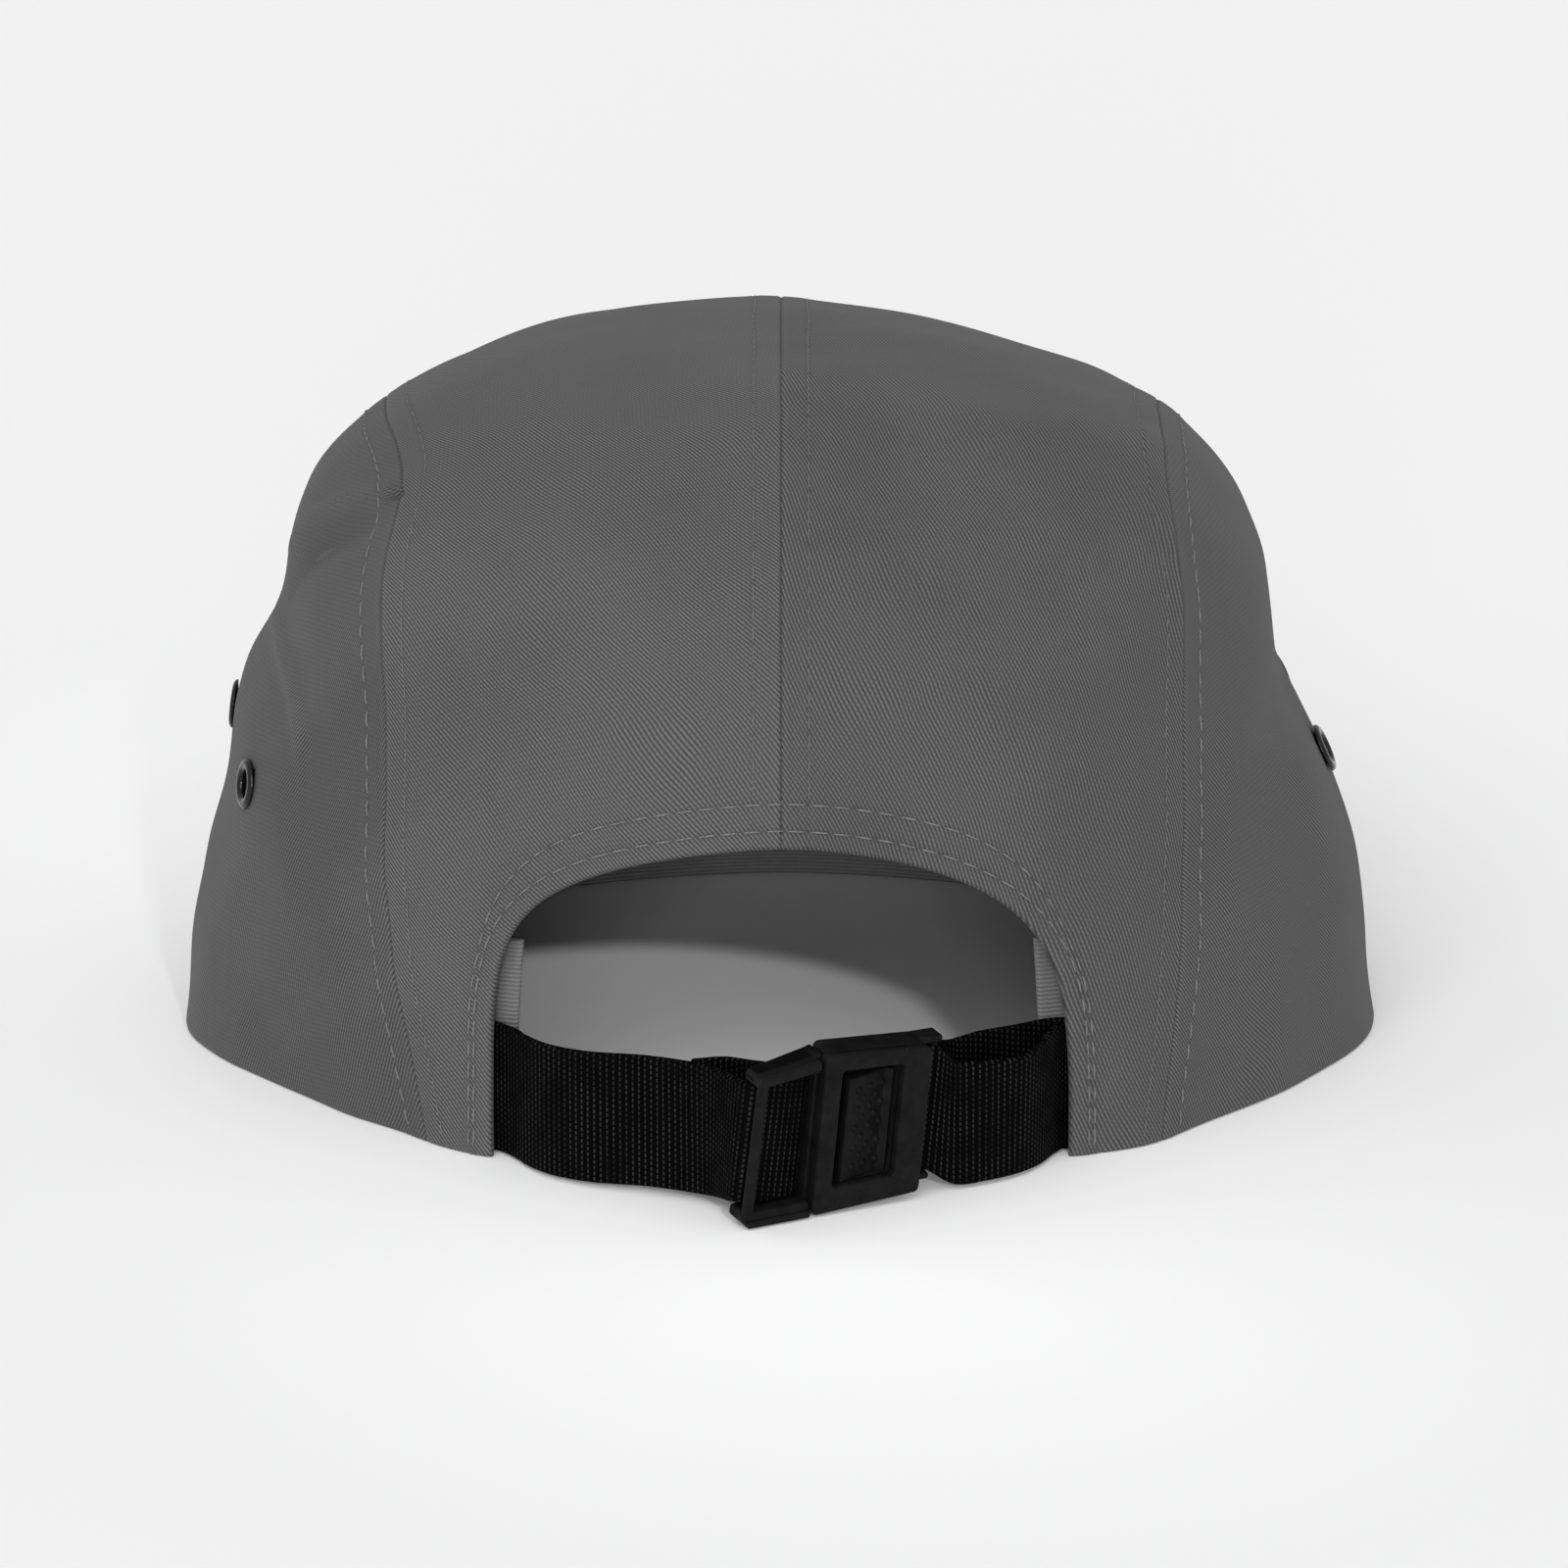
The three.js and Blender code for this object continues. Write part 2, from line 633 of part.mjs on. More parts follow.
// Azimuth on the back of the rim at which it lies a given distance across
function azimuthAcross(across) {
  return lastPlace(0, 90, (azimuth) => crown(polar(azimuth, 1)).x > across);
}

// A point inside the crown's wall, at a height and a depth measured in from the outer face
function insideWall(azimuth, height, depth) {
  const chart = chartAtHeight(azimuth, height);
  const inward = crownNormal(chart).setZ(0).normalize();
  return crown(chart).addScaledVector(inward, -depth);
}

// The strap ends lie between the panels and the sweatband, with this much room
const TUCK_GAP = 0.45;
const LAYER_PITCH = STRAP_THICKNESS + FIT_GAP;
const TUCK_DEPTH = CLOTH + TUCK_GAP + STRAP_THICKNESS / 2;
const BAND_SPREAD = 14;

// The sweatband hugs the wall, and opens up at its ends where the straps are tucked in
function bandDepth(azimuth, startAzimuth, endAzimuth) {
  const close = CLOTH + BAND_GAP;
  const left = TUCK_DEPTH + STRAP_THICKNESS / 2 + 2 * TUCK_GAP;
  const right = left + LAYER_PITCH;
  const opening = (fromEnd) => (
    1 - THREE.MathUtils.smoothstep(fromEnd, BAND_SPREAD, 2 * BAND_SPREAD)
  );
  const nearLeft = opening(startAzimuth - azimuth);
  const nearRight = opening(azimuth - endAzimuth);
  return close + (left - close) * nearLeft + (right - close) * nearRight;
}

function bandGeometry() {
  const start = azimuthAcross(ARCH_HALF_WIDTH - BAND_PAST_EDGE);
  const end = -180 - start;
  const heights = [FIT_GAP, BAND_HEIGHT / 3, (2 * BAND_HEIGHT) / 3, BAND_HEIGHT];
  const outer = [];
  const inner = [];
  for (let i = 0; i <= BAND_STEPS; i += 1) {
    const azimuth = THREE.MathUtils.lerp(start, end, i / BAND_STEPS);
    const depth = bandDepth(azimuth, start, end);
    outer.push(heights.map((height) => insideWall(azimuth, height, depth)));
    inner.push(heights.map((height) => insideWall(azimuth, height, depth + BAND_THICKNESS)));
  }
  return shell(outer, inner);
}

// The buckle's own frame: x runs along it towards the plug, y points outward and z up. Its origin
// is the plug's and socket's joint line at the front face's lower edge.
const BUCKLE_PLACE = { across: -0.116, out: 1.221 };
const buckleFrame = new THREE.Matrix4().makeRotationFromEuler(
  new THREE.Euler(radians(-BUCKLE_LEAN), 0, radians(BUCKLE_YAW), 'ZYX'),
);
buckleFrame.setPosition(
  BUCKLE_PLACE.across * ARCH_HALF_WIDTH,
  BUCKLE_PLACE.out * RIM_REACH_BACK,
  BUCKLE_LIFT,
);

// Depths in the buckle: the left strap passes behind the plug's outer bar and turns round an
// inner bar, and the right strap turns round the socket's bar
const FRONT_LAYER = -(OUTER_BAR.depth + FIT_GAP + STRAP_THICKNESS / 2);
const TURN_RADIUS = BAR_RADIUS + FIT_GAP + STRAP_THICKNESS / 2;
const TURN_REACH = TURN_RADIUS + STRAP_THICKNESS / 2;
const BAR_DEPTH = FRONT_LAYER - TURN_RADIUS;
const PLUG_BAR_X = PLUG_UPRIGHT + FIT_GAP + TURN_REACH;
const SOCKET_BAR_X = -(SOCKET_LENGTH + FIT_GAP + TURN_REACH);
const STRAP_FOOT = (BUCKLE_HEIGHT - STRAP_WIDTH) / 2;

// The plug bends outward from the socket, more at its top than at its foot, and thins out
function bendPlug(point) {
  const along = Math.max(point.x, 0) / PLUG_BEND.reach;
  const up = point.z / BUCKLE_HEIGHT;
  const outward = THREE.MathUtils.lerp(PLUG_BEND.low, PLUG_BEND.high, up);
  point.x += PLUG_BEND.along * along * up;
  point.y = point.y * (1 - PLUG_BEND.thinning * along) + outward * along;
  return point;
}

// A station of a strap is a pair of points, one on each edge of the webbing
function buckleStation(x, y) {
  const foot = new THREE.Vector3(x, y, STRAP_FOOT);
  const top = new THREE.Vector3(x, y, STRAP_FOOT + STRAP_WIDTH);
  return [foot, top].map((point) => bendPlug(point).applyMatrix4(buckleFrame));
}

function freeStation(row) {
  const foot = new THREE.Vector3(
    row.across * ARCH_HALF_WIDTH,
    row.out * RIM_REACH_BACK,
    row.lift * STRAP_WIDTH,
  );
  const lean = radians(row.lean);
  const upward = new THREE.Vector3(0, Math.sin(lean), Math.cos(lean));
  return [foot, foot.clone().addScaledVector(upward, STRAP_WIDTH)];
}

function tuckStation(side, past, depth) {
  const azimuth = azimuthAcross(ARCH_HALF_WIDTH + past);
  const chartAzimuth = side > 0 ? azimuth : 180 - azimuth;
  const foot = insideWall(chartAzimuth, FIT_GAP, depth);
  const top = insideWall(chartAzimuth, FIT_GAP + STRAP_WIDTH, depth);
  return [foot.setZ(FIT_GAP), top.setZ(FIT_GAP + STRAP_WIDTH)];
}

const TUCK_SHARES = [1, 0.6, 0.2];

function tuckStations(side, depth) {
  return TUCK_SHARES.map((share) => tuckStation(side, share * STRAP_TUCK, depth));
}

// The half turn round a bar, from the front layer to the back layer
const TURN_STEPS = 4;

function turnStations(barX, towards) {
  const stations = [];
  for (let i = 0; i <= TURN_STEPS; i += 1) {
    const angle = (Math.PI * i) / TURN_STEPS;
    const x = barX + towards * TURN_RADIUS * Math.sin(angle);
    stations.push(buckleStation(x, BAR_DEPTH + TURN_RADIUS * Math.cos(angle)));
  }
  return stations;
}

// The webbing along its stations, as one closed strip of even thickness
function strapGeometry(stations) {
  const feet = new THREE.CatmullRomCurve3(stations.map((station) => station[0]));
  const tops = new THREE.CatmullRomCurve3(stations.map((station) => station[1]));
  const count = (stations.length - 1) * ROUTE_STEPS;
  const front = [];
  const back = [];
  for (let i = 0; i <= count; i += 1) {
    const t = i / count;
    const foot = feet.getPoint(t);
    const top = tops.getPoint(t);
    const upward = top.clone().sub(foot).normalize();
    const half = STRAP_THICKNESS / 2;
    const footFace = feet.getTangent(t).cross(upward).setLength(half);
    const topFace = tops.getTangent(t).cross(upward).setLength(half);
    front.push([foot.clone().add(footFace), top.clone().add(topFace)]);
    back.push([foot.clone().sub(footFace), top.clone().sub(topFace)]);
  }
  return shell(front, back);
}

function strapLeftGeometry() {
  return strapGeometry([
    ...tuckStations(1, TUCK_DEPTH),
    ...STRAP_LEFT_ROUTE.map(freeStation),
    buckleStation(PLUG_LENGTH - OUTER_BAR.width / 2, BAR_DEPTH),
    buckleStation(PLUG_LENGTH - 2 * OUTER_BAR.width, FRONT_LAYER - FIT_GAP),
    ...turnStations(PLUG_BAR_X, -1),
    ...STRAP_TAIL_ROUTE.map(freeStation),
  ]);
}

function strapRightGeometry() {
  return strapGeometry([
    ...tuckStations(-1, TUCK_DEPTH),
    ...STRAP_RIGHT_ROUTE.map(freeStation),
    ...turnStations(SOCKET_BAR_X, 1),
    ...STRAP_RETURN_ROUTE.map(freeStation),
    ...tuckStations(-1, TUCK_DEPTH + LAYER_PITCH).reverse(),
  ]);
}

// The socket's hollow, which the plug's tongue reaches into
const HOLLOW = {
  left: -(SOCKET_LENGTH - SHELL_WALL - 1),
  back: -(BUCKLE_DEPTH - SHELL_WALL),
  front: -SHELL_WALL + FACE_STEP,
  bottom: SHELL_WALL + SOCKET_TAPER,
  top: BUCKLE_HEIGHT - SHELL_WALL - SOCKET_TAPER,
};
const TONGUE_CLEARANCE = 2 * FIT_GAP;

// The pad that is pressed to open the buckle lies deeper towards the socket's strap end
function padGeometry() {
  const back = HOLLOW.back + TONGUE_CLEARANCE;
  const shape = new THREE.Shape();
  shape.moveTo(PAD.strapEnd, back);
  shape.lineTo(PAD.plugEnd, back);
  shape.lineTo(PAD.plugEnd, PAD.high);
  shape.lineTo(PAD.strapEnd, PAD.low);
  shape.closePath();
  const pad = new THREE.ExtrudeGeometry(shape, { depth: PAD.top - PAD.bottom, bevelEnabled: false });
  return pad.translate(0, 0, PAD.bottom);
}

function plugGeometry() {
  const low = PLUG_INSET;
  const high = BUCKLE_HEIGHT - PLUG_INSET;
  const back = FACE_STEP - BUCKLE_DEPTH;
  const tongueBack = HOLLOW.back + TONGUE_CLEARANCE;
  const whole = joined([
    box([0, back, low], [PLUG_LENGTH, 0, low + RAIL]),
    box([0, back, high - RAIL], [PLUG_LENGTH, 0, high]),
    box([0, back, low], [PLUG_UPRIGHT, 0, high]),
    box([PLUG_LENGTH - OUTER_BAR.width, -OUTER_BAR.depth, low], [PLUG_LENGTH, 0, high]),
    box([0, back - FOOT_REACH, 0], [FOOT_LENGTH, FOOT_REACH, FOOT_HEIGHT]),
    uprightBar(PLUG_BAR_X, BAR_DEPTH, low + RAIL / 2, high - RAIL / 2, BAR_RADIUS),
    box(
      [HOLLOW.left + TONGUE_CLEARANCE, tongueBack, HOLLOW.bottom + TONGUE_CLEARANCE],
      [PLUG_UPRIGHT, tongueBack + TONGUE_THICKNESS, HOLLOW.top - TONGUE_CLEARANCE],
    ),
    padGeometry(),
  ]);
  const lipRoom = [
    box([-1, FACE_STEP - LIP.depth - FIT_GAP, -1], [PLUG_UPRIGHT, 1, BUCKLE_HEIGHT + 1]),
  ];
  const geometry = toGeometry(cut(whole, lipRoom));
  const positions = geometry.attributes.position;
  for (let i = 0; i < positions.count; i += 1) {
    const point = bendPlug(new THREE.Vector3().fromBufferAttribute(positions, i));
    positions.setXYZ(i, point.x, point.y, point.z);
  }
  return geometry;
}

// The socket's outline narrows towards its strap end
function socketBody() {
  const shape = new THREE.Shape();
  shape.moveTo(-FIT_GAP, 0);
  shape.lineTo(-FIT_GAP, BUCKLE_HEIGHT);
  shape.lineTo(-SOCKET_LENGTH, BUCKLE_HEIGHT - SOCKET_TAPER);
  shape.lineTo(-SOCKET_LENGTH, SOCKET_TAPER);
  shape.closePath();
  const body = new THREE.ExtrudeGeometry(shape, { depth: BUCKLE_DEPTH, bevelEnabled: false });
  return body.rotateX(Math.PI / 2).translate(0, FACE_STEP, 0);
}

function socketGeometry() {
  const end = SOCKET_BAR_X - BAR_RADIUS;
  const back = FACE_STEP - BUCKLE_DEPTH;
  const low = SOCKET_TAPER;
  const high = BUCKLE_HEIGHT - SOCKET_TAPER;
  const body = cut(toSolid(socketBody()), [
    box([HOLLOW.left, HOLLOW.back, HOLLOW.bottom], [1, HOLLOW.front, HOLLOW.top]),
    box(
      [WINDOW.strapEnd, HOLLOW.front - FIT_GAP, WINDOW.bottom],
      [WINDOW.plugEnd, 1, WINDOW.top],
    ),
  ]);
  const lip = box([-1, FACE_STEP - LIP.depth, 0], [LIP.reach, FACE_STEP, BUCKLE_HEIGHT]);
  const earLow = box([end, back, low], [1 - SOCKET_LENGTH, FRONT_LAYER, low + EAR]);
  const earHigh = box([end, back, high - EAR], [1 - SOCKET_LENGTH, FRONT_LAYER, high]);
  const bar = uprightBar(SOCKET_BAR_X, BAR_DEPTH, low + EAR / 2, high - EAR / 2, BAR_RADIUS);
  return toGeometry(body.add(joined([lip, earLow, earHigh, bar])));
}

// The assembly
function named(name, geometry, material) {
  const mesh = new THREE.Mesh(geometry, material);
  mesh.name = name;
  return mesh;
}

function sidePanel(side) {
  const holes = EYELETS.filter((eyelet) => eyelet.side === side).map(eyeletHole);
  return toGeometry(cut(toSolid(panelGeometry(sidePatch(side), SIDE_STEPS, DOWN_STEPS)), holes));
}

function backPanel(side) {
  const cloth = panelGeometry(backPatch(side), HALF_TOP_STEPS, SIDE_STEPS + DOWN_STEPS);
  return toGeometry(cut(toSolid(cloth), [archCutter()]));
}

const cap = new THREE.Group();
cap.add(named('front_panel', panelGeometry(frontPatch(), 2 * HALF_TOP_STEPS, DOWN_STEPS), twill));
cap.add(named('side_panel_left', sidePanel(1), twill));
cap.add(named('side_panel_right', sidePanel(-1), twill));
cap.add(named('back_panel_left', backPanel(1), twill));
cap.add(named('back_panel_right', backPanel(-1), twill));
cap.add(named('peak', peakGeometry(), twill));
cap.add(named('sweatband', bandGeometry(), twill));
cap.add(named('strap_left', strapLeftGeometry(), webbing));
cap.add(named('strap_right', strapRightGeometry(), webbing));
for (const eyelet of EYELETS) {
  cap.add(eyeletMesh(eyelet));
}

const buckle = new THREE.Group();
buckle.applyMatrix4(buckleFrame);
buckle.add(named('buckle_plug', plugGeometry(), plastic));
buckle.add(named('buckle_socket', socketGeometry(), plastic));
cap.add(buckle);

// The origin lies at the middle of the cap's base
cap.updateMatrixWorld(true);
const bounds = new THREE.Box3().setFromObject(cap, true);
const middle = bounds.getCenter(new THREE.Vector3());
cap.position.set(-middle.x, -middle.y, -bounds.min.z);

export default cap;
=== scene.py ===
import math

import bpy
import numpy as np
from mathutils import Matrix, Vector


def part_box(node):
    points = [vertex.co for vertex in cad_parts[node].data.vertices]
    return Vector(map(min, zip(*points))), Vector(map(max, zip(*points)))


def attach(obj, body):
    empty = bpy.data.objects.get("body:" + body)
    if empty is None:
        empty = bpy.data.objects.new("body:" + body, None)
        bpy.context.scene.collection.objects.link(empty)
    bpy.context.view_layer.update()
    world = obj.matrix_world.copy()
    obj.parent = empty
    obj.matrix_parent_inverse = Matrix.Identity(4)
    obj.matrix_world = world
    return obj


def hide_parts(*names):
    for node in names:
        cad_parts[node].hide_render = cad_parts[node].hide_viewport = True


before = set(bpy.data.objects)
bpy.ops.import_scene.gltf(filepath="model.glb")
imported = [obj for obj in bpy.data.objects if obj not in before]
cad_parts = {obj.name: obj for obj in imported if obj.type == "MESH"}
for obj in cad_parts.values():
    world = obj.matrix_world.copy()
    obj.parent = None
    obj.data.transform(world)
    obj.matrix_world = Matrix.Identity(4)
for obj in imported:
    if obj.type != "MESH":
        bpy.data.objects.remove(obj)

bl_info = {
    "name": "Five Panel Cap",
    "version": (1, 0, 0),
    "blender": (4, 5, 0),
    "location": "View3D > Sidebar > Cap",
    "description": "Builds a five panel cap's cloth, webbing, buckle and stage round its CAD frame",
    "category": "Object",
}

# Lengths in this file are millimetres in the crown's own frame, the one that the CAD source draws
# in. Points are turned into metres of the shared frame when they go into a mesh.
MM = 0.001

# Crown sizes, the same as in the CAD source
RIM_HALF_WIDTH = 97.0
RIM_REACH_BACK = 91.0
RIM_REACH_FRONT = 92.0
CROWN_HEIGHT = 115.2
FOLD_DEPTH = 3.0
CLOTH = 1.5
FIT_GAP = 0.3
ARCH_HALF_WIDTH = 44.0
ARCH_HEIGHT = 50.0
PEAK_REACH = 70.0
PEAK_HALF_WIDTH = 86.0
PEAK_THICKNESS = 3.6
PEAK_SPREAD = 62.0
PEAK_ROUNDNESS = 2.3
BAND_HEIGHT = 33.0
BAND_THICKNESS = 1.2
BAND_PAST_EDGE = 2.5
STRAP_WIDTH = 20.4
STRAP_THICKNESS = 1.3
STRAP_TUCK = 10.0
BUCKLE_HEIGHT = 26.0
BUCKLE_DEPTH = 6.6
BUCKLE_YAW = 30.0
BUCKLE_LEAN = 10.0
BUCKLE_LIFT = 0.4
PLUG_LENGTH = 12.8
PLUG_INSET = 0.6
PLUG_UPRIGHT = 1.2
PLUG_BEND_REACH = 13.0
PLUG_BEND_ALONG = 0.6
PLUG_BEND_LOW = 0.5
PLUG_BEND_HIGH = 2.8
PLUG_BEND_THINNING = 0.3
OUTER_BAR_WIDTH = 2.1
OUTER_BAR_DEPTH = 2.0
FOOT_REACH = 0.6
FOOT_LENGTH = 12.0
FOOT_HEIGHT = 1.12
SOCKET_LENGTH = 17.6
SOCKET_TAPER = 1.1
BAR_RADIUS = 0.85
RAIL = 1.8
EAR = 1.1
SHELL_WALL = 1.8
FACE_STEP = 0.4
LIP_REACH = 0.75
WINDOW_X = (-12.9, -2.3)
WINDOW_Z = (4.0, 23.4)
PAD_X = (-12.5, -4.1)
PAD_Z = (4.3, 21.2)
PAD_Y = (-3.0, -0.6)
EYELET_RADIUS = 4.0
EYELET_BARREL = 2.6
EYELET_BORE = 2.1
EYELET_RISE = 0.7

# Rings of the crown: share, side, back, front, side height, back height, front height, squareness
RINGS = np.array([
    (0.00, 0.000, 0.000, 0.000, 1.000, 1.000, 1.000, 2.00),
    (0.20, 0.370, 0.360, 0.370, 0.975, 0.965, 0.975, 2.00),
    (0.32, 0.580, 0.560, 0.590, 0.910, 0.900, 0.930, 2.10),
    (0.42, 0.705, 0.715, 0.740, 0.825, 0.810, 0.860, 2.20),
    (0.52, 0.785, 0.835, 0.850, 0.710, 0.695, 0.750, 2.20),
    (0.63, 0.840, 0.915, 0.910, 0.555, 0.560, 0.600, 2.10),
    (0.80, 0.945, 0.980, 0.965, 0.300, 0.305, 0.320, 1.95),
    (1.00, 1.000, 1.000, 1.000, 0.000, 0.000, 0.000, 1.78),
])

# Soft dents and swells: azimuth, share, spread around, spread down, share of the fold depth
FOLDS = (
    (0, 0.47, 0.50, 0.075, 0.85),
    (0, 0.66, 0.40, 0.060, 1.05),
    (28, 0.97, 0.24, 0.160, -0.70),
    (194, 0.27, 0.30, 0.150, -1.35),
    (180, 0.655, 0.45, 0.070, -0.65),
    (157, 0.98, 0.14, 0.120, -0.30),
    (58, 1.00, 0.12, 0.160, 0.95),
    (126, 1.00, 0.15, 0.160, 1.40),
)
FOLD_TURN_START = 0.20
FOLD_TURN_WIDTH = 0.35

# Seams on the round chart: azimuth in degrees and share
SHOULDER_SEAM = {
    1: ((-56, 0.540), (-30, 0.425), (0, 0.370), (21.8, 0.383), (31.5, 0.420),
        (38.5, 0.500), (44.0, 0.620), (47.2, 0.750), (50.1, 0.883), (53.3, 1.000)),
    -1: ((-56, 0.540), (-30, 0.420), (0, 0.360), (17.0, 0.378), (28.5, 0.427),
         (36.2, 0.505), (41.5, 0.620), (45.6, 0.750), (48.8, 0.883), (51.2, 1.000)),
}
FRONT_TOP_SEAM = ((-90, 0.42), (-72, 0.45), (-56, 0.54))
FRONT_SIDE_SEAM = ((-56, 0.54), (-53, 0.75), (-51, 1.00))
SIDE_CORNER = 0.62
CORNER_AT = 14 / 26

# The arch's exponents, across and up, on its left and right
ARCH_SIDES = {1: (1.6, 6.2), -1: (1.8, 4.4)}

# Eyelets: name, side, azimuth, share
EYELETS = (
    ("eyelet_left_front", 1, -1.5, 0.704),
    ("eyelet_left_rear", 1, 20.5, 0.733),
    ("eyelet_right_front", -1, -16, 0.704),
    ("eyelet_right_rear", -1, 6, 0.731),
)

# Strap routes: across, out, lift, lean
STRAP_LEFT_ROUTE = (
    (0.977, 0.858, 0.015, 0), (0.925, 0.892, 0.018, 0), (0.866, 0.950, 0.022, 0),
    (0.791, 1.003, 0.030, 0), (0.655, 1.055, 0.044, 0), (0.445, 1.100, 0.069, 0),
    (0.241, 1.165, 0.090, 2),
)
STRAP_RIGHT_ROUTE = (
    (-0.980, 0.846, 0.015, 0), (-0.935, 0.882, 0.018, 2), (-0.885, 0.940, 0.022, 10),
    (-0.815, 0.992, 0.030, 15), (-0.705, 1.038, 0.035, 12), (-0.590, 1.068, 0.045, 9),
)
STRAP_RETURN_ROUTE = (
    (-0.570, 0.982, 0.050, 2), (-0.680, 0.930, 0.040, 0),
    (-0.805, 0.885, 0.030, 0), (-0.930, 0.836, 0.020, 0),
)
STRAP_TAIL_ROUTE = ((0.105, 1.140, 0.095, 1), (0.190, 1.106, 0.070, 0), (0.300, 1.080, 0.020, 0))
BUCKLE_PLACE = (-0.116, 1.221)

# The cloth's small creases, drawn as lines on the chart: places, height in millimetres, width
CREASES = (
    (((1.5, 0.604), (20.6, 0.623), (28.2, 0.665), (30.4, 0.705)), 1.3, 2.0),
    (((30.0, 0.425), (18.0, 0.470), (8.0, 0.540)), 1.4, 2.6),
    (((33.0, 0.455), (22.0, 0.510), (12.0, 0.575)), -1.5, 3.0),
    (((30.5, 0.418), (31.5, 0.432)), -1.6, 1.8),
)

# Where the crown's axis stands in the shared frame: the peak's solid is even about it, and its
# tip lies a known reach in front of it
PEAK_LOW, PEAK_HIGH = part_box("peak")
CROWN_AXIS = np.array([
    (PEAK_LOW.x + PEAK_HIGH.x) / 2 / MM,
    PEAK_LOW.y / MM + PEAK_REACH + RIM_REACH_FRONT,
    0.0,
])


def smoothstep(value, start, end):
    """The cubic step from 0 at start to 1 at end, flat at both."""
    t = np.clip((value - start) / (end - start), 0, 1)
    return t * t * (3 - 2 * t)


def unit(vectors):
    """Vectors divided by their own lengths."""
    return vectors / np.maximum(np.linalg.norm(vectors, axis=-1, keepdims=True), 1e-12)


def polar(azimuth, share):
    """Chart points: the share times the cosine and the sine of the azimuth."""
    angle = np.radians(azimuth)
    return np.stack([np.cos(angle) * share, np.sin(angle) * share], axis=-1)


def mirrored_rings():
    """The ring rows with two mirror rows before the top, so that the top is smooth."""
    mirror = RINGS[[2, 1]].copy()
    mirror[:, :4] *= -1
    return np.vstack([mirror, RINGS])


RING_ROWS = mirrored_rings()
RING_SHARES = RING_ROWS[:, 0]
RING_VALUES = RING_ROWS[:, 1:]


def row_slopes(places, values):
    """Slopes at the rows: on each inner row the slopes before and after, each weighed by the
    width of the other's step."""
    width = np.diff(places)[:, None]
    slope = np.diff(values, axis=0) / width
    inner = (slope[:-1] * width[1:] + slope[1:] * width[:-1]) / (width[:-1] + width[1:])
    return np.vstack([slope[:1], inner, slope[-1:]])


RING_SLOPES = row_slopes(RING_SHARES, RING_VALUES)


def ring_at(share):
    """The ring columns at a share: the cubic through two rows with their slopes."""
    i = np.clip(np.searchsorted(RING_SHARES, share, side="right") - 1, 0, len(RING_SHARES) - 2)
    width = (RING_SHARES[i + 1] - RING_SHARES[i])[..., None]
    s = (share[..., None] - RING_SHARES[i][..., None]) / width
    start = RING_VALUES[i] * (1 + 2 * s) * (1 - s) ** 2
    end = RING_VALUES[i + 1] * s * s * (3 - 2 * s)
    leaving = RING_SLOPES[i] * width * s * (1 - s) ** 2
    arriving = RING_SLOPES[i + 1] * width * s * s * (s - 1)
    return start + end + leaving + arriving


def folds_at(chart):
    """The folds' push: a sum of bells, each stretched around and down the crown."""
    push = np.zeros(chart.shape[:-1])
    for azimuth, share, around, down, out in FOLDS:
        away = chart - polar(azimuth, share)
        outward = away @ polar(azimuth, 1.0)
        sideways = away @ polar(azimuth + 90, 1.0)
        push += FOLD_DEPTH * out * np.exp(-((sideways / around) ** 2) - (outward / down) ** 2)
    return push


def crown(chart):
    """The crown's outer surface: at a chart point's angle the ring's rounded outline gives the
    reach, and the heights of its side and its end are mixed by the squared cosine and sine."""
    share = np.hypot(chart[..., 0], chart[..., 1])
    angle = np.arctan2(chart[..., 1], chart[..., 0])
    across, along = np.cos(angle), np.sin(angle)
    ring = ring_at(share)
    behind = along >= 0
    side = np.maximum(ring[..., 0] * RIM_HALF_WIDTH, 1e-6)
    reach = np.where(behind, ring[..., 1] * RIM_REACH_BACK, ring[..., 2] * RIM_REACH_FRONT)
    n = ring[..., 6]
    total = (np.abs(across) / side) ** n + (np.abs(along) / np.maximum(reach, 1e-6)) ** n
    end_height = np.where(behind, ring[..., 4], ring[..., 5])
    push = folds_at(chart)
    outward = smoothstep(share, FOLD_TURN_START, FOLD_TURN_START + FOLD_TURN_WIDTH)
    radius = total ** (-1 / n) + push * outward
    height = CROWN_HEIGHT * (ring[..., 3] * across ** 2 + end_height * along ** 2)
    return np.stack([radius * across, radius * along, height + push * (1 - outward)], axis=-1)


NORMAL_STEP = 1e-3


def crown_slopes(chart):
    """How the surface moves with the chart's two coordinates, from points a small step apart."""
    along_x = np.array([NORMAL_STEP, 0.0])
    along_y = np.array([0.0, NORMAL_STEP])
    over_x = (crown(chart + along_x) - crown(chart - along_x)) / (2 * NORMAL_STEP)
    over_y = (crown(chart + along_y) - crown(chart - along_y)) / (2 * NORMAL_STEP)
    return over_x, over_y


def crown_normal(chart):
    """The outward normal: the cross product of the two slopes."""
    over_x, over_y = crown_slopes(chart)
    return unit(np.cross(over_x, over_y))


def spline(points, t):
    """A smooth curve through the points, each span a cubic whose end slopes are half the step
    between the neighbours."""
    points = np.asarray(points, float)
    last = len(points) - 1
    place = np.clip(t, 0, 1) * last
    i = np.minimum(np.floor(place).astype(int), last)
    s = (place - i)[..., None]
    before, here = points[np.maximum(i - 1, 0)], points[i]
    after, beyond = points[np.minimum(i + 1, last)], points[np.minimum(i + 2, last)]
    leaving, arriving = (after - before) / 2, (beyond - here) / 2
    return ((2 * here - 2 * after + leaving + arriving) * s ** 3
            + (3 * after - 3 * here - 2 * leaving - arriving) * s ** 2 + leaving * s + here)


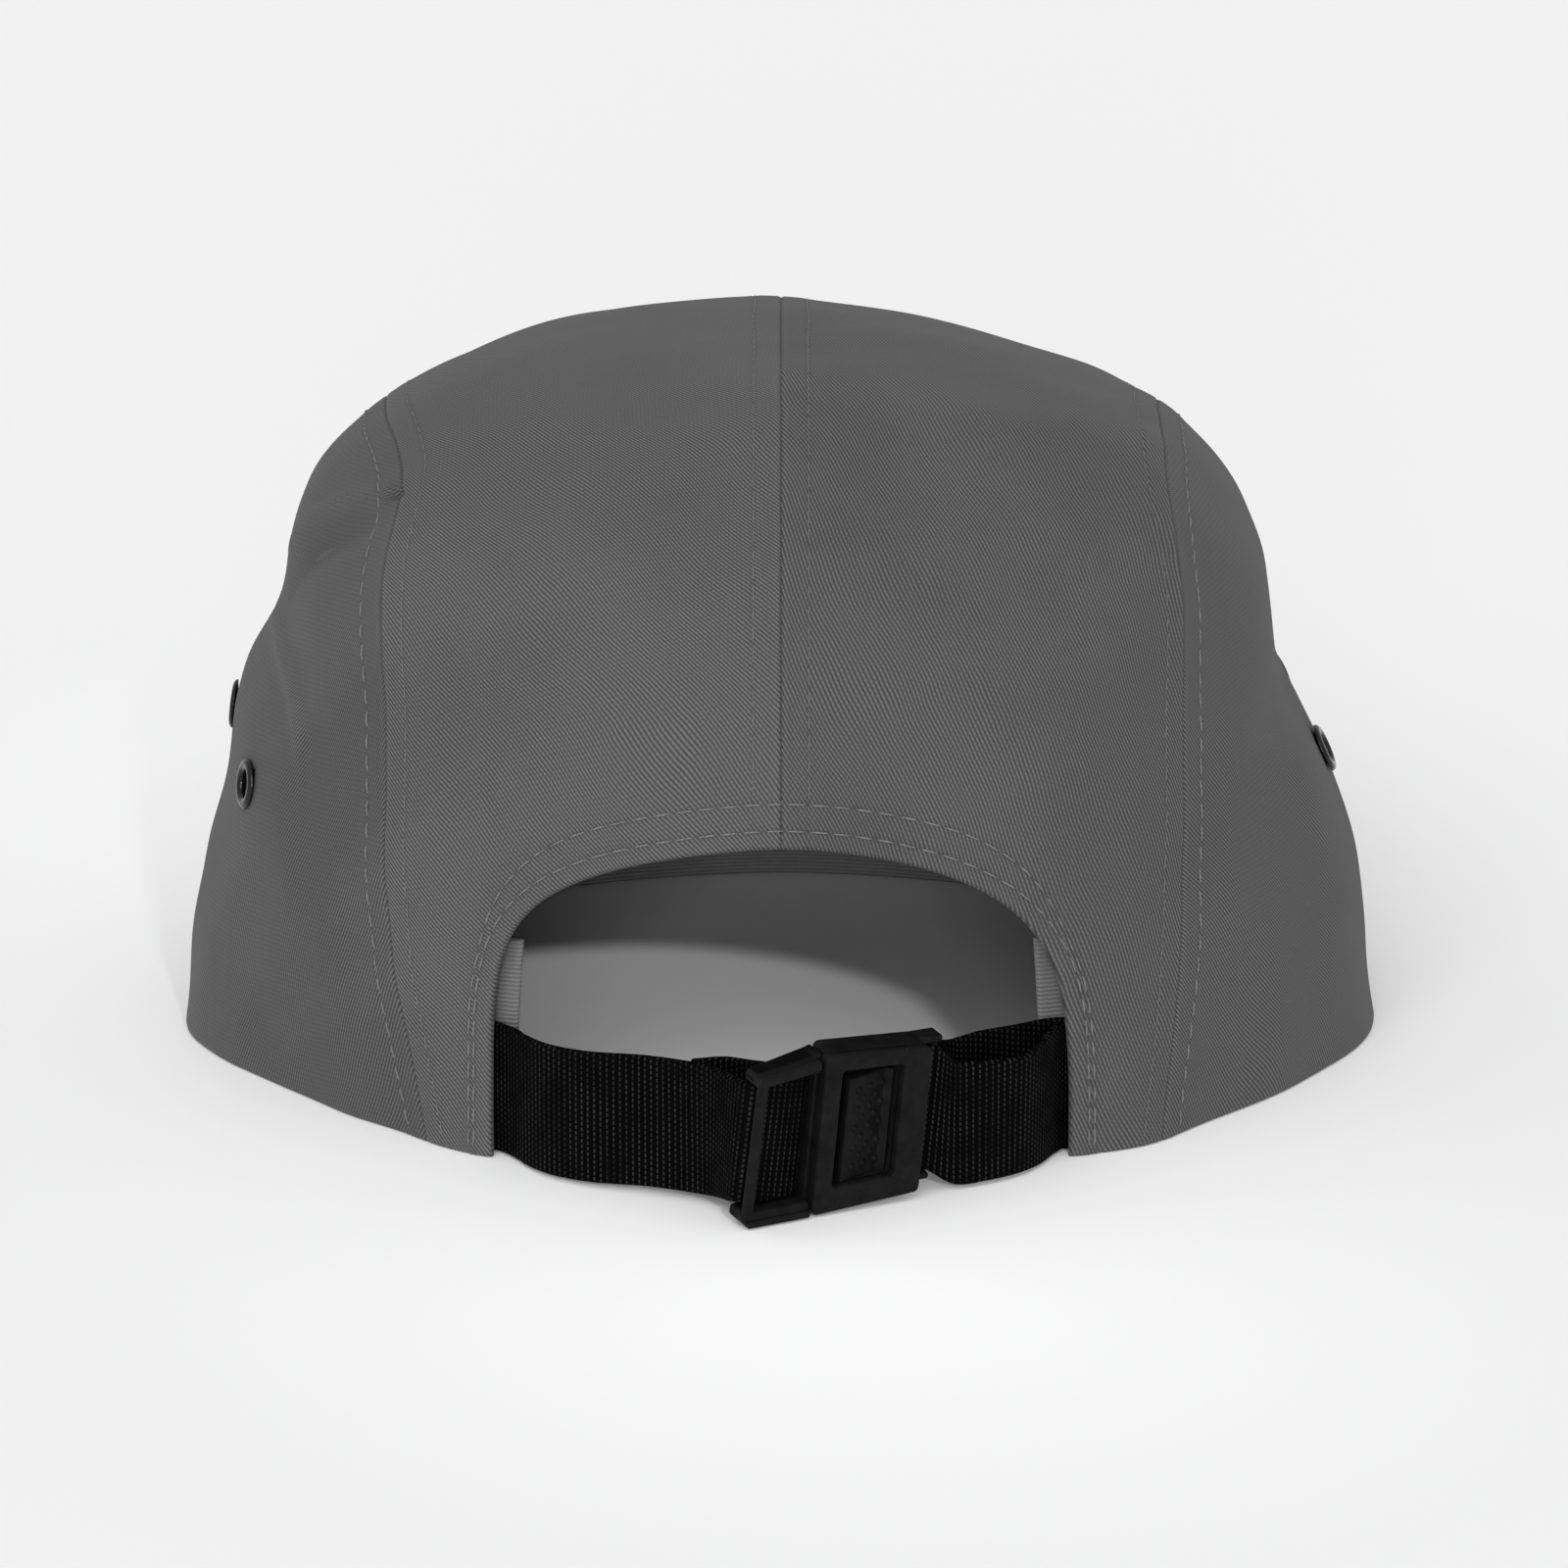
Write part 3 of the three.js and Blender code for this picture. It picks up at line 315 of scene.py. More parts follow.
def spline_at(points, share):
    """The same curve, read at even shares of its length."""
    t = np.linspace(0, 1, 201)
    steps = np.linalg.norm(np.diff(spline(points, t), axis=0), axis=1)
    lengths = np.concatenate([[0], np.cumsum(steps)])
    return spline(points, np.interp(np.asarray(share) * lengths[-1], lengths, t))


def seam_points(rows, side=1):
    """A seam's rows as chart points, mirrored for the right hand side."""
    rows = np.array(rows, float)
    return polar(rows[:, 0], rows[:, 1]) * (side, 1)


def coons(top, rim, start, end):
    """The patch between four chart curves: the two straight mixes of facing curves added up,
    less the mix of the corners."""
    def at(u, v):
        a, b = u[..., None], v[..., None]
        zero, one = np.zeros_like(u), np.ones_like(u)
        edges = top(u) * (1 - b) + rim(u) * b + start(v) * (1 - a) + end(v) * a
        corners = ((1 - a) * (1 - b) * top(zero) + a * (1 - b) * top(one)
                   + (1 - a) * b * rim(zero) + a * b * rim(one))
        return edges - corners
    return at


def rim_curve(start, end, side):
    """The rim between two azimuths, mirrored for the right hand side."""
    return lambda u: polar(start + (end - start) * u, 1.0) * (side, 1)


def side_patch(side):
    """A side panel: under the shoulder seam's first stretch, down to the rim."""
    shoulder = seam_points(SHOULDER_SEAM[side], side)
    front = seam_points(FRONT_SIDE_SEAM, side)
    return coons(
        top=lambda u: spline_at(shoulder, u * SIDE_CORNER),
        rim=rim_curve(FRONT_SIDE_SEAM[-1][0], SHOULDER_SEAM[side][-1][0], side),
        start=lambda v: spline_at(front, v),
        end=lambda v: spline_at(shoulder, SIDE_CORNER + v * (1 - SIDE_CORNER)),
    )


def back_patch(side):
    """A back panel: from the centre seam to the shoulder seam, over the crown's top."""
    shoulder = seam_points(SHOULDER_SEAM[side], side)
    front_top = seam_points(FRONT_TOP_SEAM, side)
    centre_top, centre_rim = polar(*map(float, FRONT_TOP_SEAM[0])), polar(90.0, 1.0)

    def seam_share(v):
        upper = v / CORNER_AT * SIDE_CORNER
        lower = SIDE_CORNER + (v - CORNER_AT) / (1 - CORNER_AT) * (1 - SIDE_CORNER)
        return np.where(v < CORNER_AT, upper, lower)

    return coons(
        top=lambda u: spline_at(front_top, u),
        rim=rim_curve(90, SHOULDER_SEAM[side][-1][0], side),
        start=lambda v: centre_top + (centre_rim - centre_top) * v[..., None],
        end=lambda v: spline_at(shoulder, seam_share(v)),
    )


def front_patch():
    """The front panel, from its top seam down to the rim."""
    top = {side: seam_points(FRONT_TOP_SEAM, side) for side in (1, -1)}
    edge = {side: seam_points(FRONT_SIDE_SEAM, side) for side in (1, -1)}
    end = FRONT_SIDE_SEAM[-1][0]

    def over_top(u):
        right = spline_at(top[-1], np.clip(1 - 2 * u, 0, 1))
        left = spline_at(top[1], np.clip(2 * u - 1, 0, 1))
        return np.where((u < 0.5)[..., None], right, left)

    return coons(
        top=over_top,
        rim=rim_curve(-180 - end, end, 1),
        start=lambda v: spline_at(edge[-1], v),
        end=lambda v: spline_at(edge[1], v),
    )


def arch_level(points, side):
    """Below zero inside the arch: the sum of the across and up shares, each to its own exponent,
    less one."""
    across, up = ARCH_SIDES[side]
    inside = (np.abs(points[..., 0]) / ARCH_HALF_WIDTH) ** across
    return inside + (np.maximum(points[..., 2], 0) / ARCH_HEIGHT) ** up - 1


def graded(length, spots, coarse, fine, reach):
    """Places from 0 to 1 along a length, coarse apart in the open and fine apart near each spot:
    the inverse of the running sum of one over the spacing."""
    x = np.linspace(0, length, 4001)
    near = sum(np.exp(-((x - spot) / reach) ** 2) for spot in spots)
    density = 1 / (coarse - (coarse - fine) * np.clip(near, 0, 1))
    count = np.concatenate([[0], np.cumsum((density[1:] + density[:-1]) / 2 * np.diff(x))])
    steps = max(int(round(count[-1])), 2)
    return np.interp(np.linspace(0, count[-1], steps + 1), count, x) / length


def path_lengths(points):
    """The running length along rows of points."""
    steps = np.linalg.norm(np.diff(points, axis=0), axis=-1)
    return np.concatenate([np.zeros_like(steps[:1]), np.cumsum(steps, axis=0)])


def halved(low, high, past, rounds=30):
    """The two ends of the span in which a test turns true, after halving it again and again."""
    for _ in range(rounds):
        middle = (low + high) / 2
        beyond = past(middle)
        low, high = np.where(beyond, low, middle), np.where(beyond, middle, high)
    return low, high


ARCH_SCAN = 140


def arch_ends(side, u):
    """For each column of a back panel the place down it at which it meets the arch: the first
    crossing on a scan, halved down until it is exact."""
    patch = back_patch(side)
    v = np.linspace(0.3, 1, ARCH_SCAN)
    uu, vv = np.meshgrid(u, v, indexing="ij")
    inside = (arch_level(crown(patch(uu, vv)), side) < 0) & (vv > 0.5)
    first = np.argmax(inside, axis=1)
    cut = inside.any(axis=1)
    low = v[np.maximum(first - 1, 0)]
    high = v[first]
    _, high = halved(low, high, lambda place: arch_level(crown(patch(u, place)), side) < 0)
    return np.where(cut, high, 1.0)


def arch_foot(side):
    """The rim place at which the arch's leg ends, by halving."""
    patch = back_patch(side)
    _, high = halved(np.array([0.3]), np.array([0.98]),
                     lambda u: arch_level(crown(patch(u, np.ones(1))), side) >= 0, 40)
    return float(high[0])


def arch_half(side, count=1500):
    """Half of the arch's edge from its top to its foot, as columns, ends and chart points."""
    foot = arch_foot(side)
    u = foot * (1 - np.linspace(1, 0, count) ** 2)
    ends = arch_ends(side, u)
    return u, ends, back_patch(side)(u, ends)


ARCH_HALVES = {side: arch_half(side) for side in (1, -1)}


def nearest(points, line):
    """The distance to a drawn line and the length along it: the nearest corner of the line is
    found first, and then the nearest point of the two straight pieces that meet there."""
    flat = points.reshape(-1, 3)
    lengths = path_lengths(line)
    closest = np.empty(len(flat), int)
    squares = (line ** 2).sum(axis=1)
    for start in range(0, len(flat), 8000):
        block = flat[start:start + 8000]
        closest[start:start + 8000] = np.argmin(squares - 2 * block @ line.T, axis=1)
    best = np.full(len(flat), np.inf)
    place = np.zeros(len(flat))
    for shift in (-1, 0):
        a = np.clip(closest + shift, 0, len(line) - 2)
        piece = line[a + 1] - line[a]
        t = ((flat - line[a]) * piece).sum(axis=1) / np.maximum((piece ** 2).sum(axis=1), 1e-12)
        t = np.clip(t, 0, 1)
        distance = np.linalg.norm(flat - line[a] - piece * t[:, None], axis=1)
        closer = distance < best
        best = np.where(closer, distance, best)
        place = np.where(closer, lengths[a] + t * (lengths[a + 1] - lengths[a]), place)
    return best.reshape(points.shape[:-1]), place.reshape(points.shape[:-1])


SEAM_SAMPLES = 420


def centre_chart():
    """The centre seam's chart points, from the front panel to the arch's top."""
    start = polar(*map(float, FRONT_TOP_SEAM[0]))
    end = ARCH_HALVES[1][2][0]
    return start + (end - start) * np.linspace(0, 1, SEAM_SAMPLES)[:, None]


def arch_chart():
    """The arch's edge on the chart, from its left foot over its top to its right foot."""
    return np.vstack([ARCH_HALVES[1][2][::-1], ARCH_HALVES[-1][2][1:]])


def rim_chart():
    """The rim on the chart, from the arch's left foot round the front to its right foot."""
    left, right = ARCH_HALVES[1][2][-1], ARCH_HALVES[-1][2][-1]
    start = np.degrees(np.arctan2(left[1], left[0]))
    end = np.degrees(np.arctan2(right[1], right[0])) - 360
    return polar(np.linspace(start, end, 900), 1.0)


def seam_charts():
    """Every seam's chart points by name: the centre seam, then each pair, left before right."""
    charts = {"centre": centre_chart()}
    pairs = {
        "shoulder": SHOULDER_SEAM,
        "front_top": {1: FRONT_TOP_SEAM, -1: FRONT_TOP_SEAM},
        "front_side": {1: FRONT_SIDE_SEAM, -1: FRONT_SIDE_SEAM},
    }
    for name, rows in pairs.items():
        for hand, side in (("left", 1), ("right", -1)):
            points = seam_points(rows[side], side)
            charts[f"{name}_{hand}"] = spline_at(points, np.linspace(0, 1, SEAM_SAMPLES))
    return charts


SEAM_CHARTS = seam_charts()
SEAMS = {name: crown(chart) for name, chart in SEAM_CHARTS.items()}
ARCH_LINE = crown(arch_chart())
RIM_LINE = crown(rim_chart())

# The seams' shape: the groove between two panels, the folded edges under the cloth beside it, and
# the stitch rows that hold them
SEAM_ROW = 4.2
SEAM_GROOVE = 0.28
SEAM_GROOVE_WIDTH = 0.26
SEAM_RISE = 0.12
ROW_DIP = 0.20
ROW_DIP_WIDTH = 0.36
STITCH_PITCH = 3.4
HEM_RISE = 0.24
LEG_RISE = 0.22
HEM_ROW = 2.8
HEM_WIDE = 6.9
HEM_NARROW = 3.7
EDGE_ROLL = 0.75


def ripple(place, seed):
    """An uneven wave along a seam: three sines of unlike length, shifted by the seed."""
    shift = seed * 1.7
    return (np.sin(place / 1.9 + shift) * 0.35 + np.sin(place / 3.1 + 2.3 * shift) * 0.4
            + np.sin(place / 5.3 + 3.1 * shift) * 0.5)


def row_shape(distance, place, row):
    """The dip that a stitch row pulls into the cloth, deepest at the needle holes."""
    holes = 0.62 + 0.38 * np.cos(2 * np.pi * place / STITCH_PITCH)
    return -ROW_DIP * holes * np.exp(-((distance - row) / ROW_DIP_WIDTH) ** 2)


def needle_holes(distance, place, row):
    """One at each needle hole of a row, falling to zero within half a millimetre."""
    along = np.cos(np.pi * place / STITCH_PITCH) ** 2
    return along ** 24 * np.exp(-((distance - row) / 0.3) ** 2)


def seam_shape(distance, place, seed):
    """A seam's relief: a groove on the line, a low step out to the stitch row, the row's dip and
    a faint pucker that fades with distance."""
    groove = -SEAM_GROOVE * np.exp(-(distance / SEAM_GROOVE_WIDTH) ** 2)
    rise = SEAM_RISE * (1 - smoothstep(distance, SEAM_ROW - 0.3, SEAM_ROW + 1.6))
    pucker = 0.09 * ripple(place, seed) * np.exp(-(distance / 6.5) ** 2)
    return groove + rise + row_shape(distance, place, SEAM_ROW) + pucker


def hem_width(place):
    """The hem is wide over the arch's top and narrow on its legs."""
    height = np.interp(place, path_lengths(ARCH_LINE), ARCH_LINE[:, 2])
    return HEM_NARROW + (HEM_WIDE - HEM_NARROW) * smoothstep(height, 30.0, 46.0)


def hem_shape(distance, place):
    """The hem's relief: a step as wide as the hem, with one stitch row near the edge and one
    that holds the hem's inner border."""
    width = hem_width(place)
    leg = 1 - smoothstep(width, HEM_NARROW, HEM_NARROW + 1.2)
    rise = (HEM_RISE + LEG_RISE * leg) * (1 - smoothstep(distance, width - 0.2, width + 0.8))
    rows = row_shape(distance, place, HEM_ROW) + row_shape(distance, place, width)
    pucker = 0.12 * ripple(place, 5.0) * np.exp(-((distance - width) / 4.0) ** 2)
    return rise + rows + pucker


def edge_drop(distance, roll):
    """How far a rounded edge falls back from the face: a quarter circle over the roll."""
    depth = np.clip((roll - distance) / roll, 0, 1)
    return roll * (1 - np.sqrt(np.maximum(1 - depth ** 2, 0)))


def crease_shape(points):
    """The small creases: a bell across each line, fading in and out along it."""
    total = np.zeros(points.shape[:-1])
    for places, height, width in CREASES:
        line = crown(spline_at(seam_points(places), np.linspace(0, 1, 60)))
        distance, place = nearest(points, line)
        share = place / path_lengths(line)[-1]
        fade = np.sin(np.pi * np.clip(share, 0.02, 0.98)) ** 0.7
        total += height * fade * np.exp(-(distance / width) ** 2)
    return total


def softness(points):
    """The cloth's slow unevenness: a seeded sum of sine waves in space."""
    rng = np.random.default_rng(11)
    total = np.zeros(points.shape[:-1])
    for length, height in ((46.0, 0.30), (27.0, 0.20), (15.0, 0.07)):
        for _ in range(6):
            direction = unit(rng.normal(size=3))
            phase = rng.uniform(0, 2 * np.pi)
            total += height / 2 * np.sin(points @ direction * 2 * np.pi / length + phase)
    return total


def nearest_seam(points):
    """The distance to the nearest seam, the place along it and its number, so that a seam's
    shape ends cleanly where it meets another."""
    best = np.full(points.shape[:-1], np.inf)
    place, number = np.zeros_like(best), np.zeros_like(best)
    for seed, line in enumerate(SEAMS.values()):
        distance, along = nearest(points, line)
        closer = distance < best
        best = np.where(closer, distance, best)
        place, number = np.where(closer, along, place), np.where(closer, seed, number)
    return best, place, number


def relief(points):
    """The whole relief of the crown's outer face, and the painted shading that goes with it:
    painted highlights on the edges that stand proud and on ridges, painted shade in the grooves,
    creases and needle holes."""
    soft, creases = softness(points), crease_shape(points)
    height = soft + creases
    # Painted shade in the cloth's hollows and creases, painted light on their ridges
    painted_shading = 0.3 * soft + 0.4 * creases
    distance, place, seed = nearest_seam(points)
    height += seam_shape(distance, place, seed)
    # Painted highlight beside each seam, painted shade in its groove and needle holes
    painted_shading += 0.25 * np.exp(-((distance - 0.6) / 0.4) ** 2) - 0.5 * np.exp(-(distance / 0.25) ** 2)
    painted_shading -= 0.9 * needle_holes(distance, place, SEAM_ROW)
    distance, place = nearest(points, ARCH_LINE)
    height += hem_shape(distance, place)
    # Painted highlight along the arch's rolled edge
    painted_shading += 0.35 * np.exp(-(distance / 0.8) ** 2)
    # Painted shade in the hem's needle holes and along its stitch rows
    for row in (HEM_ROW, hem_width(place)):
        painted_shading -= 1.2 * needle_holes(distance, place, row)
        painted_shading -= 0.4 * np.exp(-((distance - row) / 0.4) ** 2)
    drop = edge_drop(distance, EDGE_ROLL)
    distance, _ = nearest(points, RIM_LINE)
    # Painted highlight along the rim's rolled edge
    painted_shading += 0.4 * np.exp(-(distance / 0.7) ** 2)
    drop = np.maximum(drop, edge_drop(distance, EDGE_ROLL))
    return height, painted_shading, drop


# Meshes

def shared_frame(points):
    """Millimetres of the crown's frame as metres of the shared frame."""
    return (np.asarray(points) + CROWN_AXIS) * MM


def signed_volume(points, faces):
    """Six times the volume inside the faces, each cut into a fan of triangles."""
    total = 0.0
    for block in faces:
        for k in range(1, block.shape[1] - 1):
            a, b, c = points[block[:, 0]], points[block[:, k]], points[block[:, k + 1]]
            total += float(np.einsum("ij,ij->", a, np.cross(b, c)))
    return total


def facing_out(points, faces):
    """The same faces, turned over if the solid is inside out."""
    if signed_volume(points, faces) < 0:
        return [block[:, ::-1] for block in faces]
    return faces


def grid_faces(rows, columns, wrap_rows=False, wrap_columns=False):
    """The four-cornered faces of a grid of points, joined round where it wraps."""
    i, j = np.meshgrid(np.arange(rows if wrap_rows else rows - 1),
                       np.arange(columns if wrap_columns else columns - 1), indexing="ij")
    below, right = (i + 1) % rows, (j + 1) % columns
    corners = [i * columns + j, below * columns + j, below * columns + right, i * columns + right]
    return np.stack(corners, axis=-1).reshape(-1, 4)


def shell(outer, inner, keep=None):
    """A closed sheet from two facing grids: the outer faces, the inner ones turned over, and a
    wall along every border edge, also round holes where faces aren't kept."""
    rows, columns = outer.shape[:2]
    count = rows * columns
    quads = grid_faces(rows, columns)
    if keep is not None:
        quads = quads[keep.ravel()]
    edges = np.concatenate([quads[:, [k, (k + 1) % 4]] for k in range(4)])
    forward = edges[:, 0] * count + edges[:, 1]
    backward = edges[:, 1] * count + edges[:, 0]
    border = edges[~np.isin(forward, backward)]
    walls = np.stack([border[:, 1], border[:, 0], border[:, 0] + count, border[:, 1] + count], -1)
    faces = np.concatenate([quads, quads[:, ::-1] + count, walls])
    points = np.concatenate([outer.reshape(-1, 3), inner.reshape(-1, 3)])
    used, faces = np.unique(faces, return_inverse=True)
    faces = [faces.reshape(-1, 4)]
    return points[used], facing_out(points[used], faces), used


def joined(parts):
    """Several closed solids as one list of points and faces."""
    points, faces, offset = [], [], 0
    for part_points, part_faces in parts:
        points.append(part_points)
        faces += [block + offset for block in part_faces]
        offset += len(part_points)
    return np.concatenate(points), faces


def make_piece(name, points, faces, material, slot, nodes=(), uv=None, marks=None):
    """Puts points and faces into a new mesh object at the origin, with its place in its mesh."""
    mesh = bpy.data.meshes.new(name)
    sizes = np.concatenate([np.full(len(block), block.shape[1]) for block in faces])
    corners = np.concatenate([block.ravel() for block in faces]).astype(np.int32)
    mesh.vertices.add(len(points))
    mesh.vertices.foreach_set("co", shared_frame(points).ravel())
    mesh.loops.add(len(corners))
    mesh.loops.foreach_set("vertex_index", corners)
    mesh.polygons.add(len(sizes))
    starts = np.concatenate([[0], np.cumsum(sizes)[:-1]]).astype(np.int32)
    mesh.polygons.foreach_set("loop_start", starts)
    mesh.polygons.foreach_set("loop_total", sizes.astype(np.int32))
    mesh.polygons.foreach_set("use_smooth", np.ones(len(sizes), bool))
    if uv is not None:
        mesh.uv_layers.new(name="Cloth").data.foreach_set("uv", uv[corners].ravel())
    for label, values in (marks or {}).items():
        mesh.attributes.new(label, "FLOAT", "POINT").data.foreach_set("value", values)
    mesh.update()
    mesh.validate()
    mesh.materials.append(material)
    piece = bpy.data.objects.new(name, mesh)
    bpy.context.scene.collection.objects.link(piece)
    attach(piece, "root")
    if nodes:
        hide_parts(*nodes)
    return piece


# Panels

def cloth_lengths(patch, columns=60, rows=120):
    """Lengths along a patch's rows and columns on a coarse grid, for the weave to follow."""
    v, u = np.meshgrid(np.linspace(0, 1, rows), np.linspace(0, 1, columns), indexing="ij")
    points = crown(patch(u, v))
    down = path_lengths(points)
    across = path_lengths(points.transpose(1, 0, 2)).T
    return across, down


def read_grid(grid, u, v):
    """A value between the points of a coarse grid, mixed from its four neighbours."""
    rows, columns = grid.shape
    x, y = np.clip(u, 0, 1) * (columns - 1), np.clip(v, 0, 1) * (rows - 1)
    j, i = np.minimum(x.astype(int), columns - 2), np.minimum(y.astype(int), rows - 2)
    a, b = x - j, y - i
    return ((grid[i, j] * (1 - a) + grid[i, j + 1] * a) * (1 - b)
            + (grid[i + 1, j] * (1 - a) + grid[i + 1, j + 1] * a) * b)


def weave_places(patch, u, v, grain, anchor):
    """The cloth's flat places in millimetres, measured from the rim and from the column at the
    anchor, and turned so that the twill's ribs run along the second coordinate. The grain is the
    ribs' angle from the row direction."""
    across, down = cloth_lengths(patch)
    middle = int(round(anchor * (across.shape[1] - 1)))
    across, down = across - across[:, middle:middle + 1], down - down[-1:]
    x, y = read_grid(across, u, v), read_grid(down, u, v)
    angle = math.radians(grain)
    square = x * math.sin(angle) - y * math.cos(angle)
    along = x * math.cos(angle) + y * math.sin(angle)
    return np.stack([square, along], axis=-1)


# The panels' rough flat sizes, which set how many rows and columns their grids have
BACK_LENGTH = 165.0
BACK_PAST_ARCH = 14.0
SIDE_WIDTH, SIDE_HEIGHT = 150.0, 88.0
FRONT_WIDTH, FRONT_HEIGHT = 150.0, 92.0

# Painted light and shade per panel: twill looks lighter or darker with the way its ribs run
PANEL_PAINTED_SHADES = {
    "back_panel_left": 0.30,
    "back_panel_right": -0.15,
    "side_panel_left": -0.35,
    "side_panel_right": -0.10,
}
FRONT_GRAIN = 45.0
# How strongly the twill's ribs are painted light on their tops and dark between them
TWILL_CONTRAST = 0.55


def panel(name, patch, u, v, grain, material, anchor, holes=()):
    """One panel of cloth: its patch laid on the crown with the relief, the inner face one
    cloth thickness inward, and round holes for the eyelets."""
    chart = patch(u, v)
    base = crown(chart)
    normal = crown_normal(chart)
    height, painted_shading, drop = relief(base)
    outer = base + normal * (height - drop)[..., None]
    inner = base - normal * (CLOTH - 0.5 * softness(base) - 0.9 * drop)[..., None]
    outer[..., 2] = np.maximum(outer[..., 2], 0)
    inner[..., 2] = np.maximum(inner[..., 2], 0)
    keep = np.ones((u.shape[0] - 1, u.shape[1] - 1), bool)
    middles = (base[:-1, :-1] + base[1:, 1:]) / 2
    for centre in holes:
        keep &= np.linalg.norm(middles - centre, axis=-1) > EYELET_BARREL + FIT_GAP
    points, faces, used = shell(outer, inner, keep)
    places = weave_places(patch, u, v, grain, anchor)
    uv = np.concatenate([places.reshape(-1, 2)] * 2)[used]
    # Each panel's painted light or shade is added to its painted shading
    painted_shading = painted_shading + PANEL_PAINTED_SHADES.get(name, 0.0)
    painted_shading_values = np.concatenate([painted_shading.ravel(), np.zeros(painted_shading.size)])[used]
    return make_piece(name, points, faces, material, "twill", [name], uv, {"painted_shading": painted_shading_values})


def back_panel(side, name, grain, material):
    """A back panel's grid: columns an even way apart along the arch's edge, then on to the
    shoulder seam, and rows that end on the arch."""
    dense_u, dense_v, chart = ARCH_HALVES[side]
    edge = path_lengths(crown(chart))
    arch = graded(edge[-1], (0, SEAM_ROW), 1.05, 0.28, 1.6)
    columns = np.interp(arch * edge[-1], edge, dense_u)
    ends = np.interp(arch * edge[-1], edge, dense_v)
    rest = graded(BACK_PAST_ARCH, (0, BACK_PAST_ARCH - SEAM_ROW, BACK_PAST_ARCH),
                  0.7, 0.25, 1.4)[1:]
    columns = np.concatenate([columns, dense_u[-1] + (1 - dense_u[-1]) * rest])
    ends = np.concatenate([ends, np.ones(len(rest))])
    fine = (0, SEAM_ROW, BACK_LENGTH - HEM_WIDE, BACK_LENGTH - HEM_ROW, BACK_LENGTH)
    rows = graded(BACK_LENGTH, fine, 1.1, 0.25, 1.6)
    v = rows[:, None] * ends[None, :]
    u = np.broadcast_to(columns[None, :], v.shape).copy()
    return panel(name, back_patch(side), u, v, grain, material, 0.0)


def even_grid(width, height, across, down):
    """A panel's even grid, finer along its seams: the coarse steps across and down are given."""
    columns = graded(width, (0, SEAM_ROW, width - SEAM_ROW, width), across, 0.25, 1.5)
    rows = graded(height, (0, SEAM_ROW, height), down, 0.25, 1.5)
    v, u = np.meshgrid(rows, columns, indexing="ij")
    return u, v


def side_panel(side, name, grain, material):
    """A side panel with its two eyelet holes."""
    u, v = even_grid(SIDE_WIDTH, SIDE_HEIGHT, 1.0, 0.95)
    holes = [eyelet_place(eyelet)[0] for eyelet in EYELETS if eyelet[1] == side]
    return panel(name, side_patch(side), u, v, grain, material, 0.5, holes)


def front_panel(grain, material):
    """The front panel."""
    u, v = even_grid(FRONT_WIDTH, FRONT_HEIGHT, 1.1, 1.1)
    return panel("front_panel", front_patch(), u, v, grain, material, 0.5)


# Eyelets

def eyelet_place(eyelet):
    """The eyelet's point on the crown and its outward direction."""
    _, side, azimuth, share = eyelet
    chart = polar(float(azimuth), share) * (side, 1)
    return crown(chart), crown_normal(chart)


def turned(direction):
    """Two directions square to a given one and to each other."""
    first = unit(np.cross(direction, (0.0, 0.0, 1.0)))
    return first, np.cross(first, direction)


EYELET_SIDES = 56


def eyelet(entry):
    """A metal ring: a closed section with a domed flange outside and a flat one inside, turned
    round the eyelet's axis."""
    centre, axis = eyelet_place(entry)
    first, second = turned(axis)
    inside = -CLOTH - 3 * FIT_GAP
    dome = np.linspace(0, np.pi, 13)
    middle, half = (EYELET_RADIUS + EYELET_BORE) / 2, (EYELET_RADIUS - EYELET_BORE) / 2
    radius = np.concatenate([middle + half * np.cos(dome), [EYELET_BORE] * 3,
                             [EYELET_BORE + 0.2, EYELET_RADIUS - 0.2, EYELET_RADIUS,
                              EYELET_RADIUS - 0.1, EYELET_BARREL, EYELET_BARREL]])
    rise = np.concatenate([0.15 + FIT_GAP + EYELET_RISE * np.sin(dome),
                           [0, inside / 2, inside - EYELET_RISE / 2],
                           [inside - EYELET_RISE, inside - EYELET_RISE, inside - EYELET_RISE / 2,
                            inside, inside, FIT_GAP]])
    angle = np.linspace(0, 2 * np.pi, EYELET_SIDES, endpoint=False)
    ring = np.cos(angle)[:, None] * first + np.sin(angle)[:, None] * second
    points = centre + radius[:, None, None] * ring[None] + rise[:, None, None] * axis
    faces = [grid_faces(len(radius), EYELET_SIDES, True, True)]
    points = points.reshape(-1, 3)
    return points, facing_out(points, faces)


# Sweatband

TUCK_GAP = FIT_GAP * 1.5
LAYER_PITCH = STRAP_THICKNESS + FIT_GAP
TUCK_DEPTH = CLOTH + TUCK_GAP + STRAP_THICKNESS / 2
BAND_DEPTH = CLOTH + 2.5 * FIT_GAP
BAND_SPREAD = 14.0
# The band's rough length, which sets how many steps its grid has
BAND_LENGTH = 480.0


def chart_at_height(azimuth, height):
    """The chart point at an azimuth where the crown has a given height, by halving."""
    azimuth, height = np.broadcast_arrays(np.asarray(azimuth, float), np.asarray(height, float))
    _, high = halved(np.full(azimuth.shape, 0.5), np.ones(azimuth.shape),
                     lambda share: crown(polar(azimuth, share))[..., 2] <= height)
    return polar(azimuth, high)


def inside_wall(azimuth, height, depth):
    """A point inside the crown's wall, at a height and a depth from the outer face."""
    chart = chart_at_height(azimuth, height)
    inward = crown_normal(chart) * (1, 1, 0)
    return crown(chart) - unit(inward) * np.asarray(depth)[..., None]


def azimuth_across(across):
    """The azimuth at which the rim lies a given way across, by halving."""
    low, high = halved(np.array(20.0), np.array(90.0),
                       lambda azimuth: crown(polar(azimuth, 1.0))[..., 0] <= across)
    return float((low + high) / 2)


